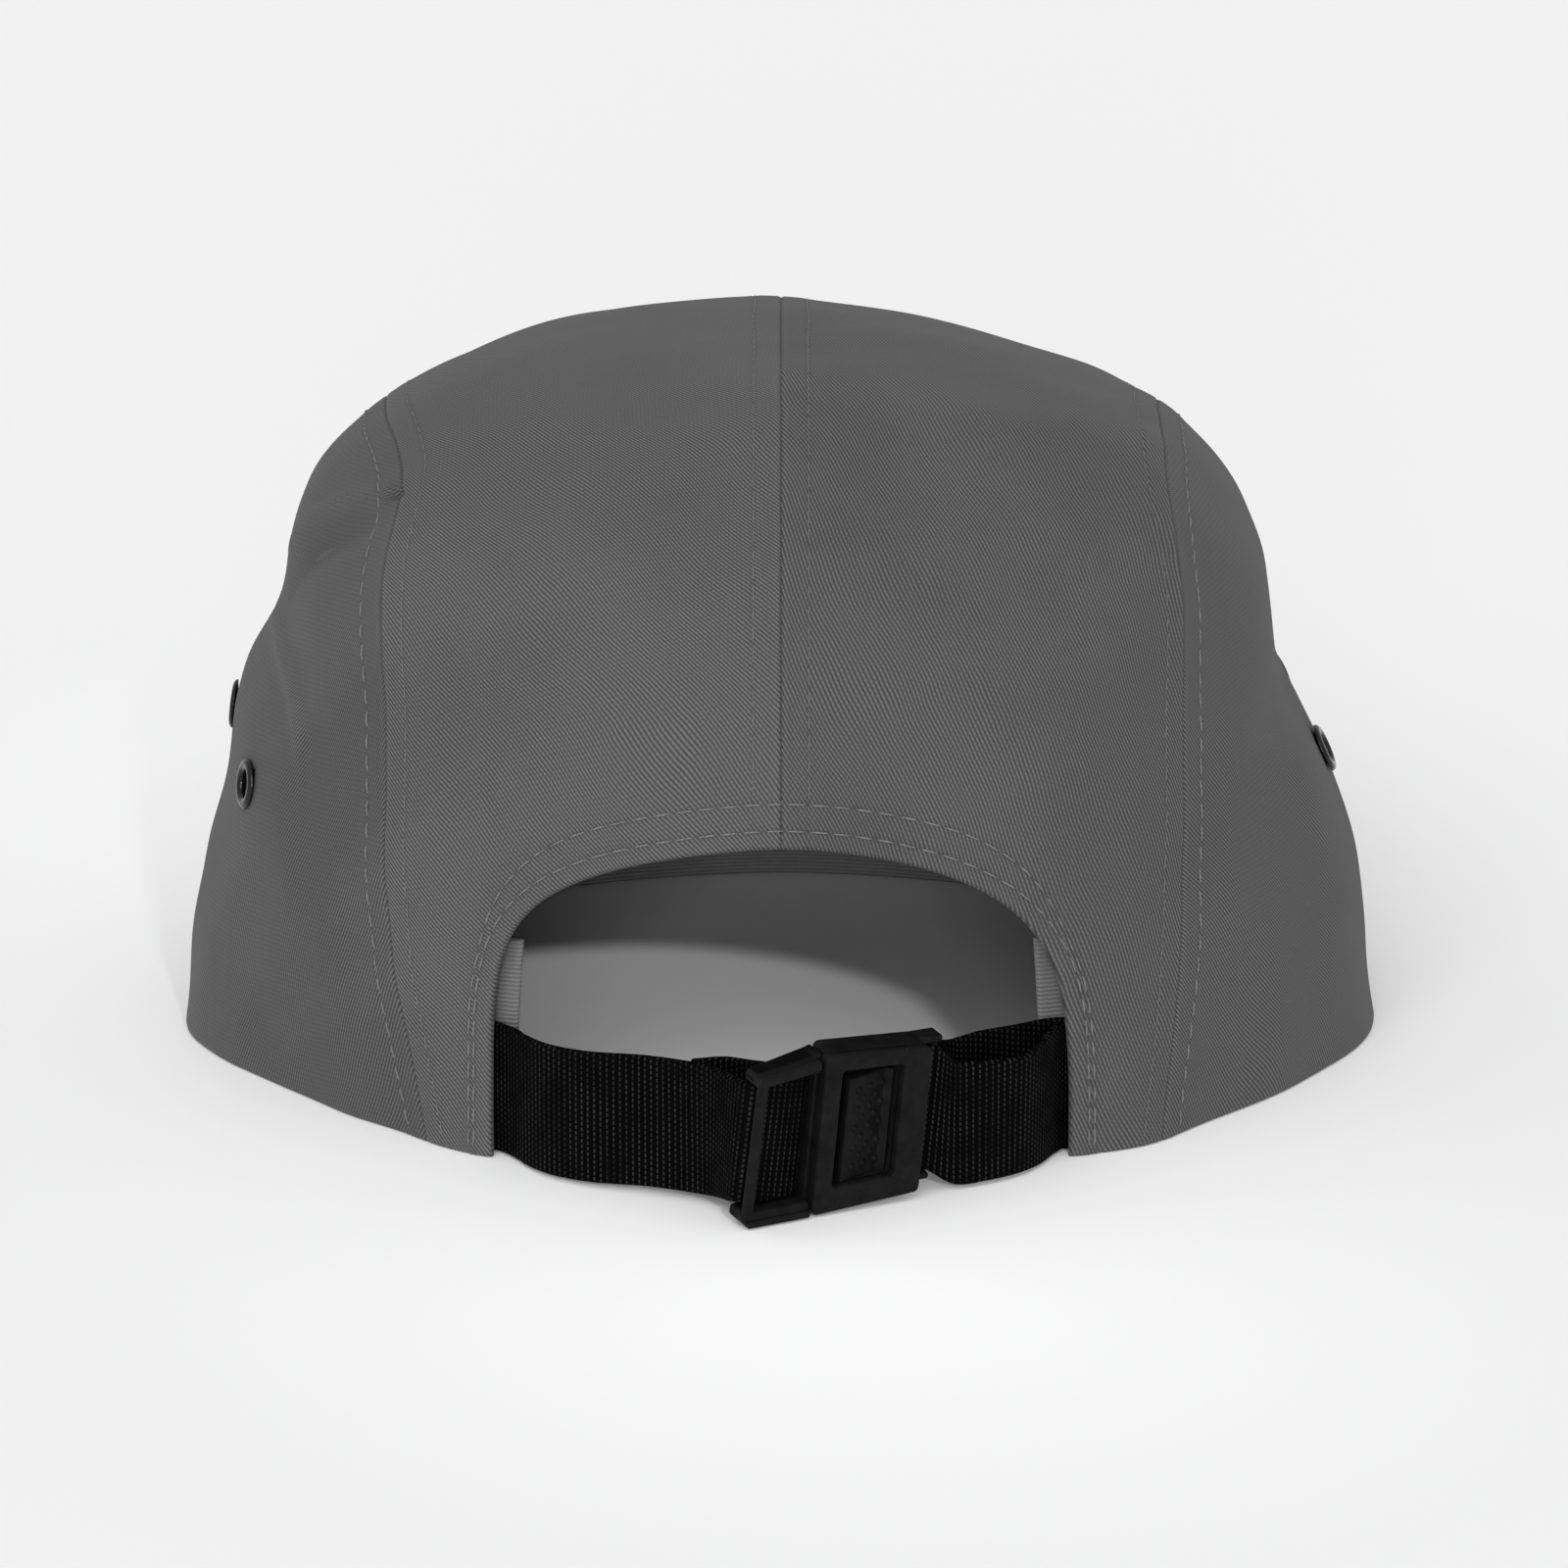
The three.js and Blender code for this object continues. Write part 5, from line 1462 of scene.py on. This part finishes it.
class Nodes:
    """Short names for the nodes of one material."""

    def __init__(self, name):
        self.material = bpy.data.materials.new(name)
        self.material.use_nodes = True
        self.tree = self.material.node_tree
        self.shader = self.tree.nodes["Principled BSDF"]

    def put(self, socket, value):
        """Links an output to a socket, or sets the socket's own value."""
        if isinstance(value, bpy.types.NodeSocket):
            self.tree.links.new(value, socket)
        else:
            socket.default_value = value

    def math(self, operation, *values):
        node = self.tree.nodes.new("ShaderNodeMath")
        node.operation = operation
        for socket, value in zip(node.inputs, values):
            self.put(socket, value)
        return node.outputs[0]

    def split(self, vector):
        node = self.tree.nodes.new("ShaderNodeSeparateXYZ")
        self.put(node.inputs[0], vector)
        return node.outputs

    def uv(self):
        node = self.tree.nodes.new("ShaderNodeUVMap")
        node.uv_map = "Cloth"
        return node.outputs["UV"]

    def place(self):
        return self.tree.nodes.new("ShaderNodeTexCoord").outputs["Object"]

    def mark(self, name):
        node = self.tree.nodes.new("ShaderNodeAttribute")
        node.attribute_name = name
        return node.outputs["Fac"]

    def noise(self, vector, scale, detail=3.0, roughness=0.55):
        node = self.tree.nodes.new("ShaderNodeTexNoise")
        self.put(node.inputs["Vector"], vector)
        self.put(node.inputs["Scale"], scale)
        self.put(node.inputs["Detail"], detail)
        self.put(node.inputs["Roughness"], roughness)
        return node.outputs["Fac"]

    def wave(self, operation, turns):
        """A sine or cosine of whole turns."""
        return self.math(operation, self.math("MULTIPLY", turns, 2 * math.pi))

    def tones(self, share, colour, dark, light):
        """A mix from the colour times the dark factor to the colour times the light one."""
        node = self.tree.nodes.new("ShaderNodeMix")
        node.data_type = "RGBA"
        self.put(node.inputs["Factor"], share)
        for socket, factor in (("A", dark), ("B", light)):
            self.put(node.inputs[socket], tuple(c * factor for c in colour[:3]) + (1.0,))
        return node.outputs["Result"]

    def span(self, value, low, high, new_low, new_high):
        node = self.tree.nodes.new("ShaderNodeMapRange")
        for socket, number in zip(node.inputs, (value, low, high, new_low, new_high)):
            self.put(socket, number)
        return node.outputs[0]

    def bump(self, height, distance, strength=1.0):
        node = self.tree.nodes.new("ShaderNodeBump")
        self.put(node.inputs["Strength"], strength)
        self.put(node.inputs["Distance"], distance)
        self.put(node.inputs["Height"], height)
        self.put(self.shader.inputs["Normal"], node.outputs[0])

    def finish(self, colour, roughness, sheen=0.0, specular=0.5):
        self.put(self.shader.inputs["Base Color"], colour)
        self.put(self.shader.inputs["Roughness"], roughness)
        self.shader.inputs["Sheen Weight"].default_value = sheen
        self.shader.inputs["Sheen Roughness"].default_value = 0.5
        self.shader.inputs["Metallic"].default_value = 0.0
        self.shader.inputs["Specular IOR Level"].default_value = specular
        return self.material


def grey(value):
    """A neutral colour with its alpha."""
    return (value, value, value * 1.01, 1.0)


def twill_material(name, colour, pitch, contrast):
    """Twill: ribs along the second coordinate, each broken into short floats that step from rib
    to rib, with uneven threads, slow fading, painted shade between the ribs, and the painted
    shading mark: painted highlights on proud edges, painted shade in grooves and creases."""
    n = Nodes(name)
    places = n.split(n.uv())
    x, y = places[0], places[1]
    waver = n.span(n.noise(n.place(), 90.0, 2.0), 0.3, 0.7, -0.35, 0.35)
    bend = n.span(n.noise(n.place(), 24.0, 1.0), 0.3, 0.7, -4.0, 4.0)
    ribs = n.math("ADD", n.math("ADD", n.math("DIVIDE", x, pitch), waver), bend)
    rib = n.wave("SINE", ribs)
    step = n.math("MULTIPLY", n.math("FLOOR", n.math("ADD", ribs, 0.25)), 0.38)
    floats = n.math("ADD", n.math("DIVIDE", y, pitch * 1.5), step)
    thread = n.wave("SINE", floats)
    raised = n.span(rib, -1.0, 1.0, 0.0, 1.0)
    height = n.math("MULTIPLY", raised, n.span(thread, -1.0, 1.0, 0.72, 1.0))
    fibre = n.noise(n.place(), 2600.0, 2.0, 0.7)
    fading = n.noise(n.place(), 38.0, 4.0, 0.6)
    painted_shading = n.mark("painted_shading")
    # Painted light on the ribs' tops and painted shade between them
    tone = n.span(height, 0.0, 1.0, 1.0 - contrast, 1.0 + contrast)
    tone = n.math("MULTIPLY", tone, n.span(fibre, 0.3, 0.7, 0.93, 1.07))
    tone = n.math("MULTIPLY", tone, n.span(fading, 0.3, 0.7, 0.94, 1.06))
    # The painted shading mark: painted highlights and painted shade from the relief
    tone = n.math("MULTIPLY", tone, n.span(painted_shading, -1.0, 1.0, 0.72, 1.28))
    n.bump(n.math("ADD", height, n.math("MULTIPLY", fibre, 0.35)), 0.00007)
    roughness = n.span(fibre, 0.3, 0.7, 0.82, 0.94)
    shade = n.tones(n.span(tone, 0.5, 1.5, 0.0, 1.0), colour, 0.5, 1.5)
    return n.finish(shade, roughness, sheen=0.06, specular=0.15)


def ribbed_material(name, colour, pitch):
    """The band's cloth: fine ribs along it, soft and matte, with painted shade between the ribs."""
    n = Nodes(name)
    places = n.split(n.uv())
    rib = n.wave("SINE", n.math("DIVIDE", places[0], pitch))
    fibre = n.noise(n.place(), 2400.0, 2.0, 0.7)
    fading = n.noise(n.place(), 60.0, 3.0)
    height = n.span(rib, -1.0, 1.0, 0.0, 1.0)
    # Painted light on the ribs' tops and painted shade between them
    tone = n.math("MULTIPLY", n.span(height, 0.0, 1.0, 0.78, 1.18),
                  n.span(fibre, 0.3, 0.7, 0.92, 1.08))
    tone = n.math("MULTIPLY", tone, n.span(fading, 0.3, 0.7, 0.94, 1.06))
    n.bump(n.math("ADD", height, n.math("MULTIPLY", fibre, 0.3)), 0.00012)
    roughness = n.span(fibre, 0.3, 0.7, 0.82, 0.94)
    shade = n.tones(n.span(tone, 0.4, 1.6, 0.0, 1.0), colour, 0.4, 1.6)
    return n.finish(shade, roughness, sheen=0.1, specular=0.25)


def webbing_material(name, colour, rib_pitch):
    """Webbing: rows of tight knots on each rib, staggered from rib to rib, near black with a
    painted highlight on the tops of the knots and darker between them."""
    n = Nodes(name)
    places = n.split(n.uv())
    ribs = n.math("DIVIDE", places[0], rib_pitch)
    rib = n.span(n.wave("COSINE", ribs), -1.0, 1.0, 0.0, 1.0)
    step = n.math("MULTIPLY", n.math("FLOOR", n.math("ADD", ribs, 0.5)), 0.27)
    knots = n.math("ADD", n.math("DIVIDE", places[1], 0.88), step)
    knot = n.span(n.wave("COSINE", knots), -1.0, 1.0, 0.0, 1.0)
    fibre = n.noise(n.place(), 3000.0, 2.0, 0.7)
    patch = n.noise(n.place(), 220.0, 3.0)
    height = n.math("ADD", n.math("MULTIPLY", rib, n.span(knot, 0.0, 1.0, 0.35, 1.0)),
                    n.math("MULTIPLY", fibre, 0.3))
    # Painted highlights: thin bright dashes on the knots' tops, painted shade between them
    dash = n.math("MULTIPLY", n.math("POWER", rib, 6.0), n.span(knot, 0.12, 0.45, 0.0, 1.0))
    tops = n.math("MULTIPLY", dash, n.span(patch, 0.35, 0.65, 0.3, 1.0))
    n.bump(height, 0.00022)
    roughness = n.span(tops, 0.0, 1.0, 0.72, 0.5)
    return n.finish(n.tones(tops, colour, 0.45, 14.0), roughness, specular=0.022)


def plastic_material(name, colour):
    """Moulded plastic: satin, with a fine spark-worn grain and a few faint rubs."""
    n = Nodes(name)
    grain = n.noise(n.place(), 4200.0, 2.0, 0.6)
    rubs = n.noise(n.place(), 320.0, 4.0, 0.7)
    tone = n.span(rubs, 0.35, 0.75, 0.0, 1.0)
    n.bump(grain, 0.00003, 0.6)
    roughness = n.span(rubs, 0.3, 0.7, 0.36, 0.48)
    return n.finish(n.tones(tone, colour, 0.8, 1.7), roughness, specular=0.04)


def metal_material(name, colour):
    """Gloss black lacquer on the eyelets, with faint unevenness."""
    n = Nodes(name)
    fleck = n.noise(n.place(), 900.0, 3.0)
    n.bump(fleck, 0.00001, 0.4)
    roughness = n.span(fleck, 0.3, 0.7, 0.10, 0.2)
    return n.finish(n.tones(fleck, colour, 0.7, 1.8), roughness, specular=0.3)


def thread_material(name, colour):
    """Sewing thread: the cloth's grey made lighter as a painted highlight, with the twist of its
    strands.
    """
    n = Nodes(name)
    twist = n.noise(n.place(), 1800.0, 2.0, 0.6)
    n.bump(twist, 0.00005)
    shade = n.tones(n.span(twist, 0.3, 0.7, 0.0, 1.0), colour, 0.7, 1.3)
    return n.finish(shade, n.span(twist, 0.3, 0.7, 0.6, 0.8), sheen=0.05, specular=0.4)


def floor_material(name, colour):
    """The white studio floor, very slightly mottled."""
    n = Nodes(name)
    patch = n.noise(n.place(), 3.0, 2.0)
    return n.finish(n.tones(patch, colour, 0.995, 1.0), 0.7, specular=0.2)


# The stage's lights: name, kind, azimuth and height in degrees, spread or cone in degrees, power
# and the point that the light is turned to. The spot shines through the arch, flattened to the
# opening's shape. It lights the floor alone: inside the cap and, less, just below the buckle.
CROWN_MIDDLE = (0.0, 0.0, 38.5)
ARCH_MIDDLE = (0.0, 88.0, 37.0)
LIGHTS = (
    ("key", "SUN", 74.0, 34.0, 34.0, 1.05, CROWN_MIDDLE),
    ("top", "SUN", 92.0, 48.0, 60.0, 0.36, CROWN_MIDDLE),
    ("front", "SUN", 88.0, 10.0, 16.0, 1.2, CROWN_MIDDLE),
    ("arch", "SPOT", 101.0, 21.0, 5.2, 195.0, ARCH_MIDDLE),
)
LIGHT_DISTANCE = 1.6
SPOT_FLATNESS = 0.36
SPOT_BLEND = 0.35
SPOT_SOFTNESS = 0.08
FLOOR_REACH = 6.0
SENSOR_WIDTH = 36.0
CAMERA_SHIFT = 0.0019


# Settings

def pitch_setting(what, value):
    return bpy.props.FloatProperty(
        name=f"{what} pitch", description="Width of one rib, in millimetres",
        default=value, min=0.2, max=2.0)


def grain_setting(where, value):
    return bpy.props.FloatProperty(
        name=f"{where} grain", description="Angle of the twill's ribs, in degrees", default=value)


def colour_setting(name, what, value):
    return bpy.props.FloatVectorProperty(
        name=name, description=f"Colour of the {what}", subtype="COLOR", size=4,
        default=grey(value), min=0.0, max=1.0)


class CapSizes(bpy.types.PropertyGroup):
    """Sizes of the cap's finishes."""

    twill_pitch: pitch_setting("Twill", 0.57)
    band_pitch: pitch_setting("Band", 0.65)
    grain_back_left: grain_setting("Left back", 134.0)
    grain_back_right: grain_setting("Right back", 66.0)
    grain_side_left: grain_setting("Left side", -62.0)
    grain_side_right: grain_setting("Right side", 130.0)
    camera_height: bpy.props.FloatProperty(
        name="Camera height", description="Angle of the camera above the floor, in degrees",
        default=14.0)
    camera_distance: bpy.props.FloatProperty(
        name="Camera distance", description="Distance of the camera from the cap",
        default=1.15, unit="LENGTH")
    lens: bpy.props.FloatProperty(
        name="Lens", description="Focal length of the camera, in millimetres", default=163.0)
    sky: bpy.props.FloatProperty(
        name="Sky", description="Brightness of the even light all round", default=0.66, min=0.0)


class CapColours(bpy.types.PropertyGroup):
    """Colours of the cap's finishes."""

    cloth: colour_setting("Cloth", "twill", 0.078)
    band: colour_setting("Band", "sweatband", 0.140)
    # Lighter than the cloth: a painted highlight on the proud stitches
    thread: colour_setting("Thread", "stitches", 0.125)
    webbing: colour_setting("Webbing", "straps", 0.0022)
    plastic: colour_setting("Plastic", "buckle", 0.0066)
    metal: colour_setting("Metal", "eyelets", 0.003)
    floor: colour_setting("Floor", "floor", 0.908)


# Operators

class CAP_OT_stage(bpy.types.Operator):
    """Lay the floor, set the light and place the camera"""

    bl_idname = "cap.stage"
    bl_label = "Stage"

    def execute(self, context):
        sizes, colours = context.scene.cap_sizes, context.scene.cap_colours
        mesh = bpy.data.meshes.new("floor")
        reach = FLOOR_REACH
        mesh.from_pydata([(-reach, -reach, 0), (reach, -reach, 0), (reach, reach, 0),
                          (-reach, reach, 0)], [], [(0, 1, 2, 3)])
        mesh.materials.append(floor_material("floor_white", tuple(colours.floor)))
        floor = bpy.data.objects.new("floor", mesh)
        context.scene.collection.objects.link(floor)

        target = Vector(shared_frame(CROWN_MIDDLE))
        lift = math.radians(sizes.camera_height)
        away = Vector((0.0, math.cos(lift), math.sin(lift)))
        camera = bpy.data.cameras.new("camera")
        camera.lens = sizes.lens
        camera.sensor_width = SENSOR_WIDTH
        camera.shift_x = CAMERA_SHIFT
        camera.clip_start, camera.clip_end = 0.05, 50.0
        stand = bpy.data.objects.new("camera", camera)
        stand.location = target + away * sizes.camera_distance
        stand.rotation_euler = (-away).to_track_quat("-Z", "Y").to_euler()
        context.scene.collection.objects.link(stand)
        context.scene.camera = stand

        for name, kind, azimuth, height, spread, power, aim in LIGHTS:
            lamp = bpy.data.lights.new(name, kind)
            lamp.energy = power
            if kind == "SUN":
                lamp.angle = math.radians(spread)
            else:
                lamp.spot_size = math.radians(spread)
                lamp.spot_blend = SPOT_BLEND
                lamp.shadow_soft_size = SPOT_SOFTNESS
            toward = Vector((math.cos(math.radians(azimuth)) * math.cos(math.radians(height)),
                             math.sin(math.radians(azimuth)) * math.cos(math.radians(height)),
                             math.sin(math.radians(height))))
            light = bpy.data.objects.new(name, lamp)
            light.location = Vector(shared_frame(aim)) + toward * LIGHT_DISTANCE
            light.rotation_euler = toward.to_track_quat("Z", "Y").to_euler()
            if kind == "SPOT":
                light.scale = (1.0, SPOT_FLATNESS, 1.0)
                light.light_linking.receiver_collection = bpy.data.collections.new("lit_floor")
                light.light_linking.receiver_collection.objects.link(floor)
            context.scene.collection.objects.link(light)

        world = bpy.data.worlds.new("studio")
        world.use_nodes = True
        backdrop = world.node_tree.nodes["Background"]
        backdrop.inputs["Color"].default_value = (1.0, 1.0, 1.0, 1.0)
        backdrop.inputs["Strength"].default_value = sizes.sky
        context.scene.world = world
        context.scene.view_settings.view_transform = "Standard"
        return {"FINISHED"}


class CAP_OT_panels(bpy.types.Operator):
    """Build the five cloth panels of the crown"""

    bl_idname = "cap.panels"
    bl_label = "Panels"

    def execute(self, context):
        sizes, colours = context.scene.cap_sizes, context.scene.cap_colours
        twill = twill_material("twill", tuple(colours.cloth), sizes.twill_pitch,
                               TWILL_CONTRAST)
        back_panel(1, "back_panel_left", sizes.grain_back_left, twill)
        back_panel(-1, "back_panel_right", sizes.grain_back_right, twill)
        side_panel(1, "side_panel_left", sizes.grain_side_left, twill)
        side_panel(-1, "side_panel_right", sizes.grain_side_right, twill)
        front_panel(FRONT_GRAIN, twill)
        return {"FINISHED"}


class CAP_OT_peak(bpy.types.Operator):
    """Build the peak"""

    bl_idname = "cap.peak"
    bl_label = "Peak"

    def execute(self, context):
        peak(bpy.data.materials["twill"])
        return {"FINISHED"}


class CAP_OT_sweatband(bpy.types.Operator):
    """Build the sweatband inside the rim"""

    bl_idname = "cap.sweatband"
    bl_label = "Sweatband"

    def execute(self, context):
        sizes, colours = context.scene.cap_sizes, context.scene.cap_colours
        sweatband(ribbed_material("band_cloth", tuple(colours.band), sizes.band_pitch))
        return {"FINISHED"}


class CAP_OT_stitches(bpy.types.Operator):
    """Sew the stitch rows of the crown, the hem and the peak"""

    bl_idname = "cap.stitches"
    bl_label = "Stitches"

    def execute(self, context):
        thread = thread_material("thread", tuple(context.scene.cap_colours.thread))
        for name, parts in (("seam_stitches", seam_rows()), ("hem_stitches", hem_rows()),
                            ("peak_stitches", peak_rows())):
            make_piece(name, *joined(parts), thread, "twill")
        return {"FINISHED"}


class CAP_OT_eyelets(bpy.types.Operator):
    """Set the four eyelets"""

    bl_idname = "cap.eyelets"
    bl_label = "Eyelets"

    def execute(self, context):
        metal = metal_material("eyelet_metal", tuple(context.scene.cap_colours.metal))
        for entry in EYELETS:
            make_piece(entry[0], *eyelet(entry), metal, "eyelet_metal", [entry[0]])
        return {"FINISHED"}


class CAP_OT_straps(bpy.types.Operator):
    """Thread the two webbing straps"""

    bl_idname = "cap.straps"
    bl_label = "Straps"

    def execute(self, context):
        webbing = webbing_material("webbing", tuple(context.scene.cap_colours.webbing), WEB_RIB)
        strap("strap_left", strap_left_stations(), webbing, TACK_PLACE)
        strap("strap_right", strap_right_stations(), webbing)
        return {"FINISHED"}


class CAP_OT_buckle(bpy.types.Operator):
    """Build the buckle's plug and socket"""

    bl_idname = "cap.buckle"
    bl_label = "Buckle"

    def execute(self, context):
        plastic = plastic_material("buckle_plastic", tuple(context.scene.cap_colours.plastic))
        for name, parts in (("buckle_plug", plug_parts()), ("buckle_socket", socket_parts())):
            points, faces = joined(parts)
            make_piece(name, from_buckle(points), faces, plastic, "buckle_plastic", [name])
        return {"FINISHED"}


class CAP_PT_sidebar(bpy.types.Panel):
    """The cap's sizes, colours and building steps"""

    bl_idname = "CAP_PT_sidebar"
    bl_label = "Five Panel Cap"
    bl_space_type = "VIEW_3D"
    bl_region_type = "UI"
    bl_category = "Cap"

    def draw(self, context):
        for group in (context.scene.cap_sizes, context.scene.cap_colours):
            box = self.layout.box()
            for name in group.__annotations__:
                box.prop(group, name)
        for operator in OPERATORS:
            self.layout.operator(operator.bl_idname)


OPERATORS = (CAP_OT_stage, CAP_OT_panels, CAP_OT_peak, CAP_OT_sweatband, CAP_OT_stitches,
             CAP_OT_eyelets, CAP_OT_straps, CAP_OT_buckle)
CLASSES = (CapSizes, CapColours, *OPERATORS, CAP_PT_sidebar)


def register():
    for cls in CLASSES:
        bpy.utils.register_class(cls)
    bpy.types.Scene.cap_sizes = bpy.props.PointerProperty(type=CapSizes)
    bpy.types.Scene.cap_colours = bpy.props.PointerProperty(type=CapColours)


def unregister():
    del bpy.types.Scene.cap_colours
    del bpy.types.Scene.cap_sizes
    for cls in reversed(CLASSES):
        bpy.utils.unregister_class(cls)


def main():
    register()
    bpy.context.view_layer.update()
    for step in ("stage", "panels", "peak", "sweatband", "stitches", "eyelets", "straps", "buckle"):
        getattr(bpy.ops.cap, step)()


if __name__ == "__main__":
    main()
